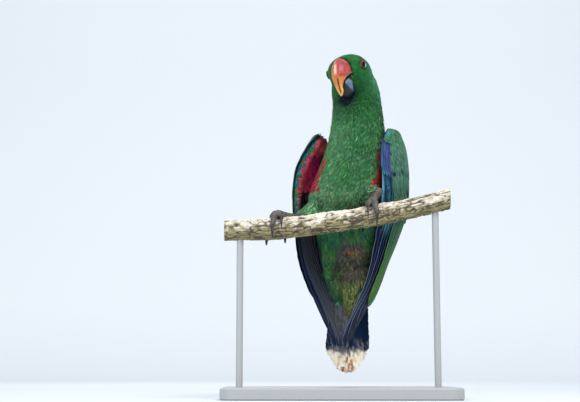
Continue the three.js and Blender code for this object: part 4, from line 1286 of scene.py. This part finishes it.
def make_tail_coverts():
    local = np.random.default_rng(31)
    batch = Batch()
    for index, lobe in enumerate(LOBES):
        add_lobe(batch, lobe, index)
    batch.build("undertail_coverts", COAT, "tail_plumage")
    batch, atlas = Batch(), Atlas(13)
    for row in UPPERTAIL:
        for share in np.linspace(0, 1, row["count"]):
            k = round(share * (row["count"] - 1))
            lift = 0.5 * (k % 2) + 0.4 * math.sin(math.pi * share)
            root = (mix(*row["x"], share), row["root"][0] + lift, row["root"][1])
            drop = 5 * abs(2 * share - 1) + local.uniform(-2, 2)
            tip = (mix(*row["tip_x"], share), row["tip"][0] + lift, row["tip"][1] + drop)
            add_straight_feather(batch, atlas, root, tip, (0, 1, 0.2), 10,
                                 uppertail_colours(local.uniform(0.7, 1.2)), COVERT_OUTLINE,
                                 rows=14, bend=0.05)
    batch.build("uppertail_coverts", VANE, "tail_plumage")


# Bill and eyes
def smooth_copy(name, nodes, voxel, rounds):
    mesh = relaxed(merged_copy(name, nodes, voxel), rounds)
    return mesh, *mesh_arrays(mesh)


def make_upper_bill():
    """Coral horn fading to amber, with a painted highlight along the ridge, a smudge, a pale cutting edge
    with painted shade along it near the tip, and a groove.
    """
    mesh, points, normals = smooth_copy("bill_upper_horn", ["bill_upper"], 0.4, 10)
    forward, left, up = head_place(points).T
    aside = np.abs(left - 0.9 - 0.02 * (up + 18))
    groove = smooth(1.3, 0.4, aside) * smooth(-9, -12, up) * smooth(-29, -25, up)
    # Painted highlight along the ridge
    ridge = smooth(2.6, 0.4, np.abs(left + 0.8)) * smooth(7, 2, up) * smooth(-9, -4, up)
    wear = 0.12 * noise(points * (1, 1, 0.4), 2.5, 44)
    slim = 2.2 * smooth(2, 5, left) * smooth(-6, -10, up) * smooth(-27, -20, up)
    move_points(mesh, points + normals * (wear - 0.5 * groove)[:, None] - LEFT * slim[:, None])
    streak = 1.2 * noise(points * (1.4, 1.4, 0.5), 3, 12)
    smudge = np.hypot((left - 6) / 2.2, (up - 3.2 + 2 * streak) / 3)
    edge = up - np.interp(forward, *TOMIUM.T)
    colour = layered(
        plain(CORAL, up),
        ((0.5, 0.12, 0.11), 0.5 * smooth(-0.3, 0.9, noise(points, 7, 3))),
        (ORANGE, smooth(-4, -14, up + streak - 8 * smooth(-1, -4, left))),
        (AMBER, smooth(-14, -27, up + streak)),
        # Painted highlight on the ridge
        ((0.95, 0.66, 0.42), 0.65 * ridge),
        ((0.05, 0.02, 0.04), 0.7 * smooth(1.1, 0.3, smudge)),
        ((0.16, 0.13, 0.3), 0.75 * smooth(20, 16.5, forward) * smooth(5.5, 8, left) * smooth(-4.5, -2, up)),
        ((0.66, 0.48, 0.48), 0.8 * smooth(2.0, 0.8, edge) * smooth(3, 5, left) * smooth(-15, -12, up)),
        # Painted shade along the cutting edge near the tip
        ((0.03, 0.02, 0.02), 0.8 * smooth(0.7, 0.2, edge) * smooth(26, 30, forward)),
        ((0.012, 0.01, 0.01), 0.97 * groove))
    paint(mesh, colour * (1 + 0.15 * noise(points * (2, 2, 0.4), 1.4, 8))[:, None])
    finish_piece("bill_upper_horn", mesh, HORN, ["bill_upper"])


def make_lower_bill():
    """Black horn with a painted blue-grey reflection on its left side."""
    mesh, points, normals = smooth_copy("bill_lower_horn", ["bill_lower"], 0.4, 10)
    forward, left, up = head_place(points).T
    swell = 1.5 * smooth(0, 5, left) * smooth(-30, -20, up)
    low = 2.0 * smooth(-16, -24, up) * smooth(8, 16, forward)
    move_points(mesh, points + normals * swell[:, None] - UP * low[:, None])
    # Painted reflection: a blue-grey patch on the left side, broken up by noise
    patch = smooth(3.6, 5.4, left + 0.25 * (up + 18)) * smooth(-26, -22, up - 0.3 * (left - 6))
    reflection_breakup = 0.8 + 0.25 * noise(points * (1, 1, 0.4), 2.5, 2)
    painted_reflection = patch * smooth(-12.6, -14.2, up) * reflection_breakup
    paint(mesh, layered(plain((0.005, 0.008, 0.013), up), ((0.115, 0.185, 0.31), painted_reflection)))
    finish_piece("bill_lower_horn", mesh, HORN_DARK, ["bill_lower"])


def degrees_from(way, axis):
    return np.degrees(np.arccos(np.clip(way @ axis, -1, 1)))


def make_eyes():
    for name, side in (("left", 1), ("right", -1)):
        bm = bmesh.new()
        bmesh.ops.create_uvsphere(bm, u_segments=96, v_segments=72, radius=EYE_RADIUS * MM)
        mesh = bpy.data.meshes.new(f"eye_{name}_ball")
        bm.to_mesh(mesh)
        bm.free()
        points, _ = mesh_arrays(mesh)
        move_points(mesh, points + EYES[name])
        # The pupil's middle, and the middle of the pale crescent behind it, a painted reflection
        turn = degrees_from(unit(points), unit(LEFT * side + FORWARD * 0.5 - UP * 0.05))
        behind = degrees_from(unit(points), unit(LEFT * side - FORWARD * 0.17 - UP * 0.3))
        paint(mesh, layered(
            plain((0.002, 0.002, 0.002), turn),
            ((0.2, 0.06, 0.012), smooth(29, 33, turn) * (1 + 0.4 * noise(points, 0.7, 3))),
            ((0.02, 0.008, 0.005), smooth(43, 47, turn)),
            # Painted reflection: the pale crescent behind the pupil
            ((0.36, 0.46, 0.58), smooth(24, 19, behind) * smooth(14, 20, turn))))
        finish_piece(f"eye_{name}_ball", mesh, CORNEA, [f"eye_{name}"])
        add_lid(name, unit(LEFT * side + FORWARD * 0.12))


def add_lid(name, gaze):
    """A fleshy ring of small beads round the eye, thicker above."""
    rows, columns = 96, 14
    across = unit(np.cross(UP, gaze))
    upright = np.cross(gaze, across)
    around, section = grids(np.linspace(0, FULL_TURN, rows, endpoint=False),
                            np.linspace(0, FULL_TURN, columns, endpoint=False))
    tube = 0.62 + 0.12 * np.sin(around) + 0.07 * np.abs(np.sin(around * 15))
    radial = 4.2 + tube * np.cos(section)
    depth = 3.75 + tube * 0.8 * np.sin(section)
    points = (EYES[name] + gaze * depth[..., None] + across * (radial * np.cos(around))[..., None]
              + upright * (radial * np.sin(around) * 0.95)[..., None])
    colour = layered(plain((0.012, 0.01, 0.012), tube),
                     ((0.07, 0.035, 0.06), 0.8 * smooth(-0.2, 0.7, np.sin(around))))
    batch = Batch()
    chart = np.stack([around, section], -1) / FULL_TURN
    batch.add(points, ring_faces(rows, columns, wrap=True), colour, chart)
    batch.build(f"eye_{name}_lid", LEATHER, "foot_skin")


# Feet
def make_foot(name):
    """Scaled skin: scutes across the toes and small grains between them, with painted highlights on their
    tops and painted shade in the grooves.
    """
    mesh, points, normals = smooth_copy(f"foot_{name}_skin", [f"foot_{name}"], 0.5, 12)
    height = points[:, 2] - np.interp(points[:, 0], *PERCH_LINE.T)
    turn = np.arctan2(PERCH_Y - points[:, 1], height)
    reach = np.hypot(points[:, 1] - PERCH_Y, height)
    along = np.where(reach < 20, turn * 15, points[:, 2])
    scutes = np.abs(np.sin(along * 1.35 + 1.1 * noise(points, 3, 4)))
    coarse, fine = (np.minimum(np.abs(noise(points, *size)) * 1.6, 1) for size in ((2.4, 6), (1.2, 7)))
    grains = 0.62 * coarse + 0.38 * fine
    swell = 0.4 * scutes ** 0.6 - 0.25 + 0.5 * (grains - 0.4)
    move_points(mesh, points + normals * swell[:, None])
    # Painted highlights on the raised scutes and grains, painted shade in the grooves between them
    paint(mesh, layered(
        plain(LEG_BROWN, scutes),
        (LEG_HIGHLIGHT, 0.7 * smooth(0.35, 1, scutes) * smooth(0.15, 0.6, grains)),
        ((0.015, 0.013, 0.012), 0.7 * smooth(0.3, 0.08, scutes) + 0.6 * smooth(0.2, 0.05, grains)),
        ((0.04, 0.033, 0.028), 0.6 * smooth(0, 1, noise(points, 8, 17)))))
    finish_piece(f"foot_{name}_skin", mesh, LEATHER, [f"foot_{name}"])


def make_claws(name):
    claws = [f"claw_{name}_{k}" for k in "1234"]
    mesh, points, _ = smooth_copy(f"claws_{name}", claws, 0.28, 8)
    worn = 0.5 * smooth(-0.2, 1, noise(points, 3, 8))
    paint(mesh, layered(plain((0.018, 0.017, 0.018), worn), ((0.09, 0.085, 0.08), worn)))
    finish_piece(f"claws_{name}_horn", mesh, HORN_DARK, claws)


# Branch
def bark_relief(flat):
    """Height of the bark from 0 in its cracks to about 1 on its long wrinkled plates."""
    warp = flat * (0.2, 1, 1) + 0.9 * noise(flat, 11, 50)[..., None]
    plates = smooth(0.0, 0.5, np.abs(noise(warp, 4.6, 51)))
    wrinkles = smooth(0.0, 0.45, np.abs(noise(warp * (1.3, 1, 1), 2.3, 57)))
    splits = smooth(0.0, 0.3, np.abs(noise(flat * (0.9, 0.4, 0.4), 5, 63)))
    fibres = 0.15 * noise(flat * (0.5, 1, 1), 1.3, 70)
    return plates * (0.35 + 0.65 * wrinkles) * (0.6 + 0.4 * splits) + fibres


def bark_colour(flat, angle, relief):
    """Pale above in painted light, olive below in painted shade, with lichen, dark patches underneath,
    painted shade in the cracks and painted highlights on the raised plates.
    """
    height = np.sin(angle) + 0.5 * noise(flat, 7, 54) + 0.25 * noise(flat, 25, 55)
    # Painted light: the bark paler on top, where light falls, and olive below in painted shade
    pale = smooth(-0.25, 0.95, height)
    lichen = smooth(0.0, 0.7, noise(flat * (0.5, 1, 1), 6, 71)) * smooth(0.6, -0.3, height)
    # Dark patches on the lower side
    stain = smooth(0.1, 0.7, noise(flat * (0.4, 1, 1), 7, 73)) * smooth(0.7, -0.5, height)
    return layered(
        plain((0.26, 0.215, 0.105), angle),
        ((0.58, 0.52, 0.43), pale),
        ((0.38, 0.35, 0.18), 0.6 * lichen),
        ((0.06, 0.05, 0.026), 0.7 * stain),
        # Painted shade in the cracks, and painted highlights on the raised plates on top
        ((0.05, 0.04, 0.028), 0.92 * smooth(0.42, 0.08, relief)),
        ((0.8, 0.74, 0.66), 0.6 * smooth(0.6, 0.95, relief) * pale))


def make_perch():
    rows, columns = 760, 116
    x, angle = grids(np.linspace(PERCH_LINE[0, 0], PERCH_LINE[-1, 0], rows),
                     np.linspace(0, FULL_TURN, columns, endpoint=False))
    flat = np.stack([x, 11 * np.cos(angle), 11 * np.sin(angle)], -1)
    lump = (0.03 * np.sin(x / 9 + 2 * angle) + 0.022 * np.sin(x / 23 - 3 * angle + 1)
            + 0.03 * np.sin(x / 31 + angle))
    relief = bark_relief(flat)
    radius = PERCH_RADIUS * (1 + lump) + 1.1 * relief - 0.6 + 0.3 * noise(flat, 12, 75)
    axis = np.interp(x, *row_at(PERCH_LINE, np.linspace(0, 1, 200)).T)
    points = np.stack([x, PERCH_Y + radius * np.cos(angle), axis + radius * np.sin(angle)], -1)
    share, _ = grids(np.linspace(0, 1, rows), np.arange(columns))
    batch = Batch()
    batch.add(points, ring_faces(rows, columns)[:, [0, 2, 1]], bark_colour(flat, angle, relief),
              np.stack([share, angle / FULL_TURN * 0.8], -1))
    add_cut_end(batch, points[0], 1, 0.1)
    add_cut_end(batch, points[-1], -1, 0.3)
    batch.build("branch", BARK, "bark", ["perch"])


def add_cut_end(batch, ring, face, centre_u):
    """The sawn face: rings of pale wood round a dark pith."""
    steps, columns = 14, len(ring)
    middle = ring.mean(axis=0)
    shares = np.linspace(1, 0.02, steps)
    points = np.concatenate([middle + (ring - middle) * share for share in shares] + [middle[None]])
    grain = np.repeat(np.sin(shares * 46), columns)
    colour = layered(plain((0.5, 0.36, 0.2), grain), ((0.3, 0.19, 0.1), 0.5 + 0.5 * grain),
                     ((0.08, 0.055, 0.035), np.repeat(smooth(0.93, 0.99, shares), columns)))
    inner, j = (steps - 1) * columns, np.arange(columns)
    fan = np.stack([inner + j, inner + (j + 1) % columns, np.full(columns, steps * columns)], -1)
    faces = np.concatenate([ring_faces(steps, columns), fan])[:, ::face]
    flat = (points - middle)[:, 1:] / 26
    batch.add(points, faces, np.concatenate([colour, [[0.15, 0.09, 0.05]]]), flat * 0.09 + (centre_u, 0.92))


# Stand
def make_stand():
    for node in [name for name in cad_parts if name.startswith("stand_")]:
        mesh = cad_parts[node].data.copy()
        mesh.polygons.foreach_set("use_smooth", np.full(len(mesh.polygons), node != "stand_base"))
        mesh.set_sharp_from_angle(angle=math.radians(35))
        finish_piece(node + "_paint", mesh, PAINT, [node])


add_camera()
add_stage()
add_lights()
coat_body(make_skin())
make_wing(LEFT_WING)
make_wing(RIGHT_WING)
make_tail()
make_tail_coverts()
make_upper_bill()
make_lower_bill()
make_eyes()
for side_name in ("left", "right"):
    make_foot(side_name)
    make_claws(side_name)
make_perch()
make_stand()
